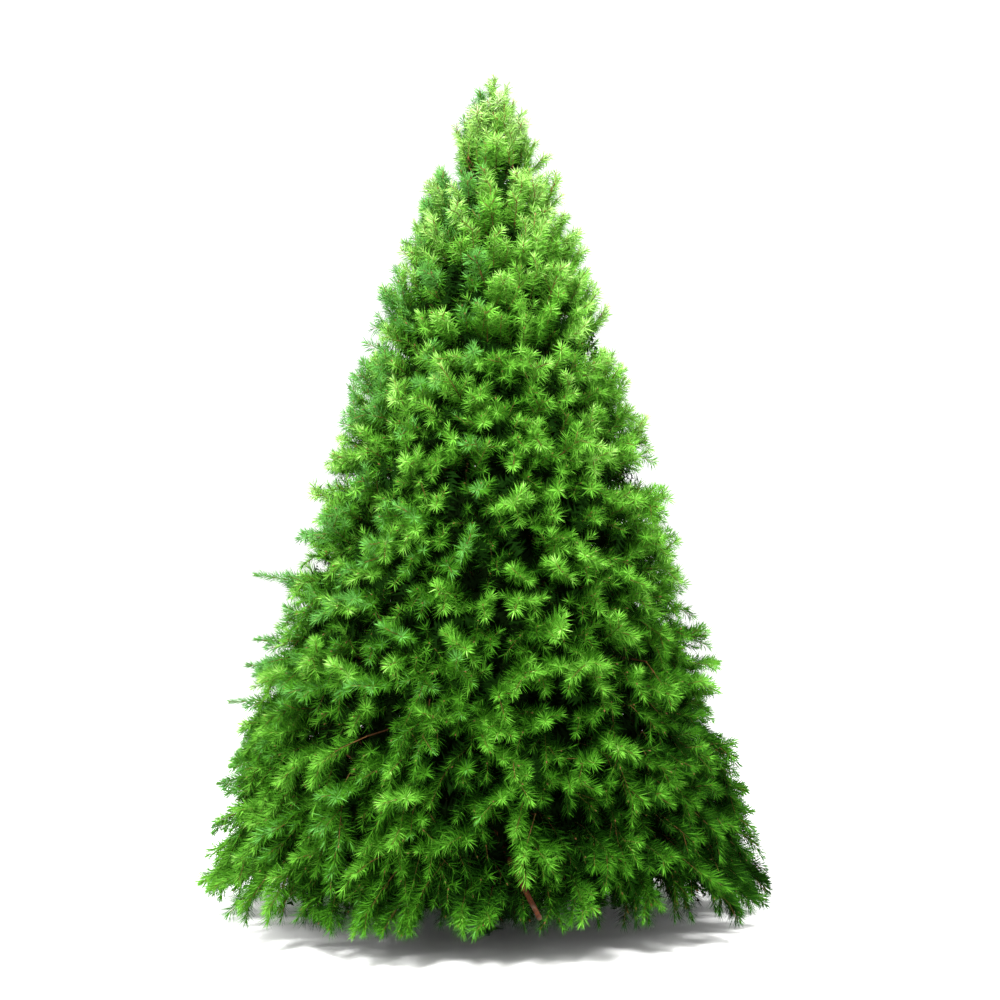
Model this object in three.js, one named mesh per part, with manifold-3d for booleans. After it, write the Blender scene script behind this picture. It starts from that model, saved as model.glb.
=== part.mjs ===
// A cut, sheared fir sold as a Christmas tree, standing in a plain steel stand.
// Millimetres, +Z up. The origin is the middle of the bowl's flat underside, on the floor.
// The tree is seen from -Y, with +X to the right.
//
// The trunk runs up through the crown. Tiers of foliage stand round it, each tier split into
// sectors, and each sector is one dense mass: a stem, a core, and toothed sprays that stand out
// of the core as far as the sheared outline. Boughs carry the three lower tiers.

import * as THREE from "three";
import { mergeVertices } from "three/addons/utils/BufferGeometryUtils.js";
import Module from "manifold-3d";

const wasm = await Module();
wasm.setup();
const { Manifold } = wasm;

const radians = (degrees) => (degrees * Math.PI) / 180;
const mix = (a, b, share) => a + (b - a) * share;
const clamp = (value, low, high) => Math.min(high, Math.max(low, value));

// Driving dimensions of the tree
const TREE_HEIGHT = 2100; // floor to the topmost tip
const CROWN_RADIUS = 722; // sheared outline at floor level
const CROWN_FULLNESS = 0.715; // power of the outline: 1 is a straight cone, less is rounder
const TREE_LEAN = 26; // how far the top stands to the right of the butt
const SKIRT_BASE = 92; // floor to the lower edge of the crown's body
const SKIRT_CLEAR = 42; // floor to the lowest tips that hang from it
const SKIRT_INNER_HEIGHT = 345; // the crown's underside where it meets the trunk
const SKIRT_HANG = 0.16; // how far tips hang below the body, as a share of the tier's height
const SKIRT_GROWTH = -28; // degrees above level that shoots grow at the floor,
const TOP_GROWTH = 85; // and at the top,
const GROWTH_POWER = 1.1; // and how the angle changes on the way up
const SEED = 2024;

// Driving dimensions of the trunk and of the clearance that touching pieces keep
const BUTT_RADIUS = 41;
const BUTT_FLARE = 5; // extra radius at the saw cut
const FLARE_HEIGHT = 70;
const TRUNK_TOP = 1772; // where the leader's own foliage begins
const TRUNK_TOP_RADIUS = 8;
const TRUNK_SIDES = 12;
const LIMB_SIDES = 6;
const GAP = 0.3;

// Driving dimensions of the stand
const BOWL_RIM_RADIUS = 112;
const BOWL_BASE_RADIUS = 94;
const BOWL_HEIGHT = 130;
const BOWL_WALL = 3;
const BOWL_FLOOR = 5;
const BOWL_SIDES = 24;
const LEG_COUNT = 4;
const LEG_REACH = 270;
const LEG_WIDTH = 32;
const LEG_STRAP = 5;
const SCREW_COUNT = 4;
const SCREW_HEIGHT = 110;
const SCREW_RADIUS = 4.5;
const SCREW_REACH = 168;
const BOSS_RADIUS = 10;
const BOSS_SIDES = 8;
const PAD_RADIUS = 9;
const PAD_DEPTH = 4;
const HANDLE_LENGTH = 56;
const BOLT_HEIGHT = 84;
const BOLT_RADIUS = 8;

// Tiers from the floor up. base is the height where the tier's lower face meets the outline.
// cells and sprays count the blunt shoots and the toothed sprays on each mass, across and up.
const TIERS = [
  { name: "skirt", sectors: 7, turn: 45, base: SKIRT_BASE, cells: [4, 3], sprays: [3, 3] },
  { name: "low", sectors: 6, turn: 22, base: 395, cells: [4, 4], sprays: [3, 3] },
  { name: "middle", sectors: 5, turn: 27, base: 765, cells: [4, 4], sprays: [3, 3] },
  { name: "high", sectors: 5, turn: 63, base: 1115, cells: [4, 4], sprays: [3, 3] },
  { name: "shoulder", sectors: 4, turn: 20, base: 1440, cells: [4, 3], sprays: [3, 3] },
  { name: "neck", sectors: 3, turn: 70, base: 1730, cells: [4, 3], sprays: [3, 2] },
];
const BOUGH_TIERS = 3; // the lowest tiers, whose masses sit on boughs
const LEADER_BASE = 1888; // the same height for the foliage round the leader

// Shoots the shears missed, which stand out of the outline: degrees round the trunk from +X,
// height of the tip, and its distance from the trunk's axis
const STRAYS = [
  [178, 852, 596],
  [183, 690, 590],
  [176, 620, 618],
  [182, 533, 650],
  [175, 372, 645],
  [184, 330, 676],
  [178, 218, 690],
  [181, 84, 700],
  [-1, 78, 703],
  [4, 306, 662],
  [-4, 634, 586],
  [2, 1236, 394],
  [-6, 1668, 226],
];

// The space that one mass of foliage keeps to
const TIER_SLOPE = 0.85; // a tier's lower face rises at this share of the shoots' angle
const WAVE_HEIGHT = 22; // its lower and upper faces wave by so much up and down at the rim,
const WAVE_ANGLE = radians(4.5); // and its sides by so much round the trunk
const SPACE_MARGIN = 2.5; // between a spray and the side of its space
const CORE_MARGIN = 5; // the same for a core
const TOUCH_SLANT = 0.9; // a face's true distance over the one along its axis

// Core of a mass: where it begins, is full and ends, in shares of the outline
const CORE_INNER = 0.28;
const CORE_WIDE = 0.5;
const CORE_OUTER = 0.74;
const CORE_ROUGHNESS = 0.04;
const STEM_START = 0.27;
const STEM_END = 0.6;
const GIRTH = [9, 5]; // a stem's radius, at the floor and at the top

// Blunt shoots on a core's outer face. Each pair of lengths is at the floor and at the top.
const SHOOT_LENGTH = [150, 95];
const SHOOT_TURN = 16;
const SHOOT_LIFT = 14;
const SHOOT_OUTERMOST = 0.985;

// Toothed sprays
const SPRAY_LENGTH = [225, 140];
const SPRAY_WIDTH_SHARE = 0.22; // half its width over its length
const SPRAY_RIDGE_SHARE = 0.08; // how far its ridge stands above its edges
const SPRAY_DROOP_SHARE = 0.05; // how far its root and tip hang below its teeth
const SPRAY_TOOTH = 0.43; // where its teeth and the notches behind them are along it
const SPRAY_NOTCH = 0.58;
const SPRAY_NOTCH_WIDTH = 0.5;
const SPRAY_RIDGE = 0.5;
const SPRAY_SINK = 20; // how deep its root lies in the core
const SPRAY_APART = 0.2; // least distance between two sprays over their length
const SPRAY_PROBES = [0.45, 0.65, 0.85, 1]; // where along them it is measured
const SPRAY_REACH = [0.94, 1.03]; // of the outline's radius
const SPRAY_TURN = 26;
const SPRAY_LIFT = 15;
const SPRAY_ROLL = 55;
const SPRAY_TRIES = 9;
const STRAY_LENGTH = [250, 150];

// Leader: height of each ring of its core, and its share of the outline's radius
const LEADER_RINGS = [
  [1832, 0.42],
  [1892, 0.56],
  [1950, 0.46],
  [2006, 0.3],
];
const LEADER_SIDES = 8;
const LEADER_SPRAYS = 16;
const LEADER_SPRAY_RISE = [115, 100]; // from root to tip, for the lowest and the highest

const GOLDEN_ANGLE = Math.PI * (3 - Math.sqrt(5));

// Random numbers in 0..1 that repeat for a seed
function seeded(seed) {
  let state = seed >>> 0;
  return () => {
    state = (state + 0x6d2b79f5) >>> 0;
    let t = Math.imul(state ^ (state >>> 15), state | 1);
    t ^= t + Math.imul(t ^ (t >>> 7), t | 61);
    return ((t ^ (t >>> 14)) >>> 0) / 4294967296;
  };
}

// Crown outline
const axisX = (z) =>
  (TREE_LEAN * Math.max(0, z - BOWL_HEIGHT)) / (TREE_HEIGHT - BOWL_HEIGHT);

function outlineRadius(z) {
  const below = clamp((TREE_HEIGHT - z) / TREE_HEIGHT, 0, 1);
  return CROWN_RADIUS * Math.pow(below, CROWN_FULLNESS);
}

// Shoots droop at the skirt, stand level at the lower third and climb steeply at the top
function growthAngle(z) {
  const share = clamp(z / TREE_HEIGHT, 0, 1);
  return radians(mix(SKIRT_GROWTH, TOP_GROWTH, Math.pow(share, GROWTH_POWER)));
}

// Height of a tier's lower face at a distance from the trunk's axis. It waves round the crown.
function tierFace(base) {
  const rim = outlineRadius(base);
  const slope =
    base === SKIRT_BASE
      ? (SKIRT_BASE - SKIRT_INNER_HEIGHT) / rim
      : Math.tan(growthAngle(base) * TIER_SLOPE);
  return (radius, angle) => {
    const wave = Math.sin(3 * angle + base) + 0.6 * Math.sin(7 * angle + 2 * base);
    return base + slope * (radius - rim) + (WAVE_HEIGHT * wave * radius) / CROWN_RADIUS;
  };
}

// The space of one mass, in three shares: across its sector, up its tier, and out to the outline.
// lowest is the height that tips may hang down to where nothing lies below, or 0.
function makeSpace(lower, upper, start, end, lowest) {
  const heightAt = (radius, angle, up) =>
    mix(lower(radius, angle), upper(radius, angle), up);
  const sideAt = (side, up) => side + WAVE_ANGLE * Math.sin(5 * up + 3 * side);
  const middle = (start + end) / 2;
  function rimRadius(up, angle = middle) {
    let near = 0;
    let far = CROWN_RADIUS;
    for (let step = 0; step < 30; step++) {
      const half = (near + far) / 2;
      if (half < outlineRadius(heightAt(half, angle, up))) near = half;
      else far = half;
    }
    return near;
  }
  function place(across, up, out) {
    const angle = mix(sideAt(start, up), sideAt(end, up), across);
    const radius = out * rimRadius(up, angle);
    const z = heightAt(radius, angle, up);
    return new THREE.Vector3(
      axisX(z) + radius * Math.cos(angle),
      radius * Math.sin(angle),
      z,
    );
  }
  function shares(point) {
    const x = point.x - axisX(point.z);
    const radius = Math.hypot(x, point.y);
    const turned = Math.atan2(point.y, x) - middle;
    const angle = Math.atan2(Math.sin(turned), Math.cos(turned)) + middle;
    const [low, high] = [lower(radius, angle), upper(radius, angle)];
    const up = (point.z - low) / (high - low);
    const [from, to] = [sideAt(start, clamp(up, 0, 1)), sideAt(end, clamp(up, 0, 1))];
    return {
      across: (angle - from) / (to - from),
      up,
      out: radius / rimRadius(clamp(up, 0, 1), angle),
      wide: radius * (to - from),
      tall: high - low,
    };
  }
  // How far inside the space's sides, lower and upper faces a point lies
  function clearance(point) {
    const { across, up, wide, tall } = shares(point);
    const toSide = Math.min(across, 1 - across) * wide;
    const toLower = lowest ? point.z - lowest : TOUCH_SLANT * up * tall;
    return Math.min(TOUCH_SLANT * toSide, toLower, TOUCH_SLANT * (1 - up) * tall);
  }
  const size = (out) => {
    const radius = out * rimRadius(0.5);
    return {
      wide: radius * (end - start),
      tall: upper(radius, middle) - lower(radius, middle),
    };
  };
  return { place, shares, clearance, size, hang: lowest ? SKIRT_HANG : 0 };
}

// Solids
function solidOf(geometry) {
  const plain = geometry.clone();
  plain.deleteAttribute("normal");
  plain.deleteAttribute("uv");
  const merged = mergeVertices(plain, 1e-4);
  return new Manifold(
    new wasm.Mesh({
      numProp: 3,
      vertProperties: new Float32Array(merged.attributes.position.array),
      triVerts: new Uint32Array(merged.index.array),
    }),
  );
}

function geometryOf(solid) {
  const mesh = solid.getMesh();
  const places = new Float32Array(mesh.numVert * 3);
  for (let i = 0; i < mesh.numVert; i++) {
    const at = i * mesh.numProp;
    places.set(mesh.vertProperties.subarray(at, at + 3), i * 3);
  }
  const geometry = new THREE.BufferGeometry();
  geometry.setAttribute("position", new THREE.BufferAttribute(places, 3));
  geometry.setIndex(new THREE.BufferAttribute(mesh.triVerts, 1));
  geometry.computeVertexNormals();
  return geometry;
}

function polyhedron(points, faces) {
  const geometry = new THREE.BufferGeometry();
  geometry.setAttribute(
    "position",
    new THREE.Float32BufferAttribute(points.flatMap((p) => [p.x, p.y, p.z]), 3),
  );
  geometry.setIndex(faces.flat());
  return geometry;
}

// A closed solid through rings with the same number of points, each end closed by a fan
function loft(rings, firstPole, lastPole) {
  const sides = rings[0].length;
  const points = [...rings.flat(), firstPole, lastPole];
  const first = rings.length * sides;
  const faces = [];
  for (let i = 0; i < sides; i++) {
    const next = (i + 1) % sides;
    for (let k = 0; k + 1 < rings.length; k++) {
      const a = k * sides + i;
      const b = k * sides + next;
      faces.push([a, b, b + sides], [a, b + sides, a + sides]);
    }
    const top = (rings.length - 1) * sides;
    faces.push([first, next, i], [first + 1, top + i, top + next]);
  }
  return polyhedron(points, faces);
}

// A round limb that tapers along a line of { at, radius }
function limb(stations, sides) {
  const last = stations[stations.length - 1];
  const along = new THREE.Vector3().subVectors(last.at, stations[0].at);
  const upright = Math.abs(along.z) > 0.9 * along.length();
  const hint = upright ? new THREE.Vector3(0, 1, 0) : new THREE.Vector3(0, 0, 1);
  const across = new THREE.Vector3().crossVectors(hint, along).normalize();
  const over = new THREE.Vector3().crossVectors(along, across).normalize();
  const rings = stations.map(({ at, radius }) =>
    Array.from({ length: sides }, (_, i) => {
      const angle = (2 * Math.PI * i) / sides;
      return at
        .clone()
        .addScaledVector(across, radius * Math.cos(angle))
        .addScaledVector(over, radius * Math.sin(angle));
    }),
  );
  return loft(rings, stations[0].at, last.at);
}

// Trunk: tapers to the leader, leans a little and flares at the saw cut
const CUT_HEIGHT = BOWL_FLOOR + GAP;
const CLAMP_LOW = SCREW_HEIGHT - 12;
const CLAMP_HIGH = SCREW_HEIGHT + 12;

function trunkRadius(z) {
  const share = clamp((z - CUT_HEIGHT) / (TRUNK_TOP - CUT_HEIGHT), 0, 1);
  const taper = mix(BUTT_RADIUS, TRUNK_TOP_RADIUS, Math.pow(share, 0.92));
  return taper + BUTT_FLARE * Math.exp(-(z - CUT_HEIGHT) / FLARE_HEIGHT);
}

function trunkSolid(extra) {
  const heights = [CUT_HEIGHT - extra, 40, CLAMP_LOW, CLAMP_HIGH, 180, 280];
  const steps = 6;
  const above = heights[heights.length - 1];
  for (let i = 1; i < steps; i++) heights.push(mix(above, TRUNK_TOP, i / steps));
  heights.push(TRUNK_TOP + extra);
  const rings = heights.map((z) =>
    Array.from({ length: TRUNK_SIDES }, (_, i) => {
      const radius = trunkRadius(z) + extra / Math.cos(Math.PI / TRUNK_SIDES);
      const angle = (2 * Math.PI * i) / TRUNK_SIDES;
      return new THREE.Vector3(
        axisX(z) + radius * Math.cos(angle),
        radius * Math.sin(angle),
        z,
      );
    }),
  );
  const middleOf = (z) => new THREE.Vector3(axisX(z), 0, z);
  return solidOf(loft(rings, middleOf(heights[0]), middleOf(heights[heights.length - 1])));
}

// How far the core's sides are from the middle of its space, in shares of it
function coreHalves(space, out) {
  const { wide, tall } = space.size(out);
  return {
    across: Math.max(0.1, 0.5 - CORE_MARGIN / wide),
    up: Math.max(0.1, 0.5 - CORE_MARGIN / tall),
  };
}

// The way a shoot grows at a point, turned round the trunk and lifted by angles
function growthDirection(point, turn, lift) {
  const heading = Math.atan2(point.y, point.x - axisX(point.z)) + turn;
  const climb = growthAngle(point.z) + lift;
  return new THREE.Vector3(
    Math.cos(climb) * Math.cos(heading),
    Math.cos(climb) * Math.sin(heading),
    Math.sin(climb),
  );
}

// Draws a four-cornered cell of a core out into a shoot, as long as its tip fits
function drawOut(points, faces, corners, length, fits, draw) {
  const middle = new THREE.Vector3();
  corners.forEach((corner) => middle.addScaledVector(points[corner], 1 / corners.length));
  const turn = radians(mix(-SHOOT_TURN, SHOOT_TURN, draw()));
  const lift = radians(mix(-SHOOT_LIFT, SHOOT_LIFT, draw()));
  const direction = growthDirection(middle, turn, lift);
  let reach = length * mix(0.7, 1.1, draw());
  let tip = middle.clone().addScaledVector(direction, reach);
  while (reach > 10 && !fits(tip)) {
    reach *= 0.8;
    tip = middle.clone().addScaledVector(direction, reach);
  }
  const peak = points.push(tip) - 1;
  corners.forEach((corner, i) => {
    faces.push([corner, corners[(i + 1) % corners.length], peak]);
  });
}

// Core: a block that fills the inside of a mass's space. Its outer face is a grid of cells,
// and each cell is drawn out into a blunt shoot.
function coreSolid(space, [columns, rows], draw) {
  const shift = (on) => (on ? mix(-0.3, 0.3, draw()) : 0);

  // A grid point stays on its own border, where only a little roughness moves it in
  const gridPoint = (column, row, out, half) => {
    const inColumn = column > 0 && column < columns;
    const inRow = row > 0 && row < rows;
    const across = (2 * (column + shift(inColumn))) / columns - 1;
    const up = (2 * (row + shift(inRow))) / rows - 1;
    const rough = 1 - CORE_ROUGHNESS * draw();
    return space.place(
      0.5 + half.across * across * rough,
      0.5 + half.up * up * rough,
      out * mix(0.94, 1.04, draw()),
    );
  };
  const outerHalf = coreHalves(space, CORE_OUTER);
  const grid = [];
  for (let row = 0; row <= rows; row++) {
    for (let column = 0; column <= columns; column++) {
      grid.push(gridPoint(column, row, CORE_OUTER, outerHalf));
    }
  }
  const at = (column, row) => row * (columns + 1) + column;

  // The grid's border, anticlockwise seen from outside, is the last ring of the sides
  const border = [];
  for (let i = 0; i < columns; i++) border.push([i, 0]);
  for (let i = 0; i < rows; i++) border.push([columns, i]);
  for (let i = columns; i > 0; i--) border.push([i, rows]);
  for (let i = rows; i > 0; i--) border.push([0, i]);

  const innerHalf = coreHalves(space, CORE_WIDE);
  const ring = border.map(([column, row]) => gridPoint(column, row, CORE_WIDE, innerHalf));

  const points = [...grid, ...ring, space.place(0.5, 0.5, CORE_INNER)];
  const pole = points.length - 1;
  const faces = [];
  border.forEach((corner, i) => {
    const next = (i + 1) % border.length;
    const [a, b] = [grid.length + i, grid.length + next];
    const [c, d] = [at(...border[next]), at(...corner)];
    faces.push([pole, b, a], [a, b, c], [a, c, d]);
  });
  const length = mix(...SHOOT_LENGTH, space.place(0.5, 0.5, 1).z / TREE_HEIGHT);
  const fits = (tip) =>
    space.clearance(tip) > SPACE_MARGIN && space.shares(tip).out < SHOOT_OUTERMOST;
  for (let row = 0; row < rows; row++) {
    for (let column = 0; column < columns; column++) {
      const corners = [
        at(column, row),
        at(column + 1, row),
        at(column + 1, row + 1),
        at(column, row + 1),
      ];
      drawOut(points, faces, corners, length, fits, draw);
    }
  }
  return solidOf(polyhedron(points, faces));
}

// Whether a point is inside the core's block
function inCore(space, point) {
  const { across, up, out } = space.shares(point);
  if (out < CORE_INNER + 0.1 || out > CORE_OUTER * 0.94) return false;
  const half = coreHalves(space, out);
  const narrow = clamp((out - CORE_INNER) / (CORE_WIDE - CORE_INNER), 0, 1);
  const sure = narrow * (1 - CORE_ROUGHNESS);
  return (
    Math.abs(across - 0.5) < half.across * sure && Math.abs(up - 0.5) < half.up * sure
  );
}

// The nearest place to a point that lies well inside the core
function coreAnchor(space, point) {
  const { across, up, out } = space.shares(point);
  return space.place(
    clamp(across, 0.18, 0.82),
    clamp(up, 0.18, 0.82),
    clamp(out, 0.5, 0.66),
  );
}

// Directions along a spray, out of its upper face and to its side
function sprayFrame(spray) {
  const along = new THREE.Vector3().subVectors(spray.tip, spray.root);
  const length = along.length();
  along.normalize();
  const outward = new THREE.Vector3(
    spray.tip.x - axisX(spray.tip.z),
    spray.tip.y,
    0,
  ).normalize();
  const growth = growthAngle(spray.tip.z);
  const face = new THREE.Vector3(0, 0, Math.cos(growth));
  face.addScaledVector(outward, Math.sin(growth) + 0.35);
  face.addScaledVector(along, -face.dot(along)).normalize();
  face.applyAxisAngle(along, spray.roll);
  const side = new THREE.Vector3().crossVectors(along, face);
  return { along, face, side, length };
}

// A spray's outline, anticlockwise from its root seen from above, and then its ridge
function sprayPoints(spray) {
  const { along, face, side, length } = sprayFrame(spray);
  const at = (share, across, up) =>
    spray.root
      .clone()
      .addScaledVector(along, share * length)
      .addScaledVector(side, across * SPRAY_WIDTH_SHARE * length)
      .addScaledVector(face, up * length);
  return [
    at(0, 0, -SPRAY_DROOP_SHARE),
    at(SPRAY_TOOTH, 1, 0),
    at(SPRAY_NOTCH, SPRAY_NOTCH_WIDTH, 0),
    at(1, 0, -SPRAY_DROOP_SHARE),
    at(SPRAY_NOTCH, -SPRAY_NOTCH_WIDTH, 0),
    at(SPRAY_TOOTH, -1, 0),
    at(SPRAY_RIDGE, 0, SPRAY_RIDGE_SHARE),
  ];
}

// One spray: a toothed blade that is thick along its ridge
function spraySolid(spray) {
  const points = sprayPoints(spray);
  const ridge = points.length - 1;
  const faces = [
    [5, 1, 0],
    [1, 5, 4],
    [1, 4, 2],
    [2, 4, 3],
  ];
  for (let i = 0; i < ridge; i++) faces.push([i, (i + 1) % ridge, ridge]);
  return solidOf(polyhedron(points, faces));
}

// Where a spray from its anchor in the core leaves the core, less the depth it is sunk
function rootOnCore(space, anchor, tip) {
  const steps = 24;
  let exit = 0;
  for (let i = 0; i <= steps; i++) {
    if (inCore(space, anchor.clone().lerp(tip, i / steps))) exit = i / steps;
  }
  const sink = SPRAY_SINK / anchor.distanceTo(tip);
  return anchor.clone().lerp(tip, clamp(exit - sink, 0, 1));
}

// Places one spray whose tip is near the outline, or returns null if no try fits the space.
// Each try grows a little straighter than the one before.
function growSpray(space, across, up, others, draw) {
  const share = clamp(space.place(across, up, 1).z / TREE_HEIGHT, 0, 1);
  const { wide, tall } = space.size(1);
  const hang = up < 0.5 ? space.hang : 0;
  for (let attempt = 0; attempt < SPRAY_TRIES; attempt++) {
    const strict = attempt / (SPRAY_TRIES - 1);
    const length = mix(...SPRAY_LENGTH, share) * mix(0.86, 1.14, draw());
    const roll = radians(mix(-SPRAY_ROLL, SPRAY_ROLL, draw())) * (1 - 0.6 * strict);
    const halfWidth = 0.8 * length * SPRAY_WIDTH_SHARE;
    const sideShare = (halfWidth * Math.cos(roll) + SPACE_MARGIN) / wide;
    const faceShare = (halfWidth * Math.abs(Math.sin(roll)) + 3 * SPACE_MARGIN) / tall;
    const shift = 0.3 * length;
    const tip = space.place(
      clamp(across + (mix(-shift, shift, draw()) / wide), sideShare, 1 - sideShare),
      clamp(up + (mix(-shift, shift, draw()) / tall), faceShare, 1 - faceShare) - hang,
      mix(...SPRAY_REACH, draw()),
    );
    const turn = radians(mix(-SPRAY_TURN, SPRAY_TURN, draw())) * (1 - strict);
    const lift = radians(mix(-SPRAY_LIFT, SPRAY_LIFT, draw())) * (1 - strict);
    const from = tip.clone().addScaledVector(growthDirection(tip, turn, lift), -length);
    const spray = { root: rootOnCore(space, coreAnchor(space, from), tip), tip, roll };
    if (fitsSpace(space, spray, 0.4 * length) && standsApart(spray, others)) return spray;
  }
  return null;
}

function fitsSpace(space, spray, leastLength) {
  return (
    spray.root.distanceTo(spray.tip) > leastLength &&
    sprayPoints(spray).every((point) => space.clearance(point) > SPACE_MARGIN)
  );
}

function standsApart(spray, others) {
  const probes = SPRAY_PROBES.map((share) => spray.root.clone().lerp(spray.tip, share));
  const least = SPRAY_APART * spray.root.distanceTo(spray.tip);
  return others.every((other) =>
    SPRAY_PROBES.every((share) => {
      const point = other.root.clone().lerp(other.tip, share);
      return probes.every((probe) => probe.distanceTo(point) > least);
    }),
  );
}

// All sprays of a mass, in rows up its outer face
function growSprays(space, [columns, rows], draw) {
  const sprays = [];
  for (let row = 0; row < rows; row++) {
    for (let column = 0; column < columns; column++) {
      const across = (column + 0.5 + (row % 2 ? 0.2 : -0.2)) / columns;
      const spray = growSpray(space, across, (row + 0.5) / rows, sprays, draw);
      if (spray) sprays.push(spray);
    }
  }
  for (const [turn, height, radius] of STRAYS) {
    const tip = new THREE.Vector3(
      axisX(height) + radius * Math.cos(radians(turn)),
      radius * Math.sin(radians(turn)),
      height,
    );
    const stray = growStray(space, tip);
    if (stray) sprays.push(stray);
  }
  return sprays;
}

// The spray of a stray shoot's tip, or null if the tip belongs to another mass
function growStray(space, tip) {
  if (space.clearance(tip) < SPACE_MARGIN) return null;
  const length = mix(...STRAY_LENGTH, tip.z / TREE_HEIGHT);
  const from = tip.clone().addScaledVector(growthDirection(tip, 0, 0), -length);
  const anchor = coreAnchor(space, from);
  const span = anchor.distanceTo(tip);
  const root = anchor.lerp(tip, clamp(1 - length / span, 0, 1));
  for (const roll of [0, 30, -30, 60, -60, 90]) {
    const spray = { root, tip, roll: radians(roll) };
    if (fitsSpace(space, spray, 0)) return spray;
  }
  return null;
}

// Fuses the pieces of a mass, cuts it clear of the trunk and keeps its main body
function fuse(pieces) {
  const solid = Manifold.union(pieces).simplify(0.5).subtract(trunkClear).simplify(0.02);
  const bodies = solid.decompose().sort((a, b) => b.volume() - a.volume());
  return bodies[0];
}

// Materials
const material = (color, roughness, metalness = 0) =>
  new THREE.MeshStandardMaterial({ color, roughness, metalness, flatShading: true });
const BARK = material(0x5b4636, 0.9);
const BOUGH_BARK = material(0x6f4a33, 0.88);
const STEEL_GREEN = material(0x24382c, 0.45, 0.3);
const ZINC = material(0x9da1a4, 0.35, 0.85);
const NEEDLES = [0x3f8a2c, 0x357a28, 0x4a9832, 0x418f38].map((color) =>
  material(color, 0.6),
);

const tree = new THREE.Group();

function addMesh(name, geometry, look, parent = tree) {
  const mesh = new THREE.Mesh(geometry, look);
  mesh.name = name;
  parent.add(mesh);
  return mesh;
}

const trunk = trunkSolid(0);
const trunkClear = trunkSolid(GAP);
addMesh("trunk", geometryOf(trunk), BARK);

// Tiers of foliage with their boughs
TIERS.forEach((tier, level) => {
  const lower = tierFace(tier.base);
  const upper = tierFace(level + 1 < TIERS.length ? TIERS[level + 1].base : LEADER_BASE);
  for (let sector = 0; sector < tier.sectors; sector++) {
    const start = radians(tier.turn + (360 / tier.sectors) * sector);
    const end = radians(tier.turn + (360 / tier.sectors) * (sector + 1));
    const space = makeSpace(lower, upper, start, end, level ? 0 : SKIRT_CLEAR);
    const draw = seeded(SEED + 100 * level + sector);
    const sprays = growSprays(space, tier.sprays, draw);
    const pieces = [coreSolid(space, tier.cells, draw), ...sprays.map(spraySolid)];
    const girth = mix(...GIRTH, (level + 1) / TIERS.length);
    const foot = space.place(0.5, 0.5, 0);
    const entry = space.place(0.5, 0.5, STEM_START);
    const inside = { at: space.place(0.5, 0.5, STEM_END), radius: 0.6 * girth };
    if (level < BOUGH_TIERS) {
      const along = new THREE.Vector3().subVectors(entry, foot).normalize();
      const stations = [{ at: foot, radius: 1.5 * girth }, { at: entry, radius: girth }];
      const bough = solidOf(limb(stations, LIMB_SIDES)).subtract(trunkClear);
      addMesh(`bough_${tier.name}_${sector + 1}`, geometryOf(bough), BOUGH_BARK);
      const from = { at: entry.addScaledVector(along, GAP), radius: girth };
      pieces.push(solidOf(limb([from, inside], LIMB_SIDES)));
    } else {
      pieces.push(solidOf(limb([{ at: foot, radius: girth }, inside], LIMB_SIDES)));
    }
    const mass = fuse(pieces);
    addMesh(
      `foliage_${tier.name}_${sector + 1}`,
      geometryOf(mass),
      NEEDLES[(level + 2 * sector) % NEEDLES.length],
    );
  }
});

// Leader: the trunk's last shoot, with steep sprays all round it
const axisDistance = (point) => Math.hypot(point.x - axisX(point.z), point.y);

function aboveNeck(point) {
  const angle = Math.atan2(point.y, point.x - axisX(point.z));
  const lower = tierFace(LEADER_BASE)(axisDistance(point), angle);
  return point.z - lower > 2 * SPACE_MARGIN;
}

function leaderCore(draw) {
  const sides = LEADER_SIDES;
  const points = LEADER_RINGS.flatMap(([height, share], level) =>
    Array.from({ length: sides }, (_, i) => {
      const angle = (2 * Math.PI * (i + 0.5 * (level % 2))) / sides;
      const radius = share * outlineRadius(height) * mix(0.93, 1.07, draw());
      return new THREE.Vector3(
        axisX(height) + radius * Math.cos(angle),
        radius * Math.sin(angle),
        height + mix(-6, 6, draw()),
      );
    }),
  );
  const [lowest, highest] = [LEADER_RINGS[0][0] - 40, TREE_HEIGHT - 40];
  points.push(new THREE.Vector3(axisX(lowest), 0, lowest));
  points.push(new THREE.Vector3(axisX(highest), 0, highest));
  const faces = [];
  const last = (LEADER_RINGS.length - 1) * sides;
  const foot = last + sides;
  for (let i = 0; i < sides; i++) {
    const next = (i + 1) % sides;
    faces.push([foot, next, i], [foot + 1, last + i, last + next]);
  }
  const fits = (tip) => aboveNeck(tip) && axisDistance(tip) < outlineRadius(tip.z);
  for (let level = 0; level + 1 < LEADER_RINGS.length; level++) {
    for (let i = 0; i < sides; i++) {
      const [a, b] = [level * sides, (level + 1) * sides];
      const shifted = level % 2 ? (i + 1) % sides : i;
      const beside = level % 2 ? (i + 2) % sides : (i + 1) % sides;
      const corners = [a + i, a + ((i + 1) % sides), b + beside, b + shifted];
      drawOut(points, faces, corners, SHOOT_LENGTH[1], fits, draw);
    }
  }
  return solidOf(polyhedron(points, faces));
}

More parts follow.
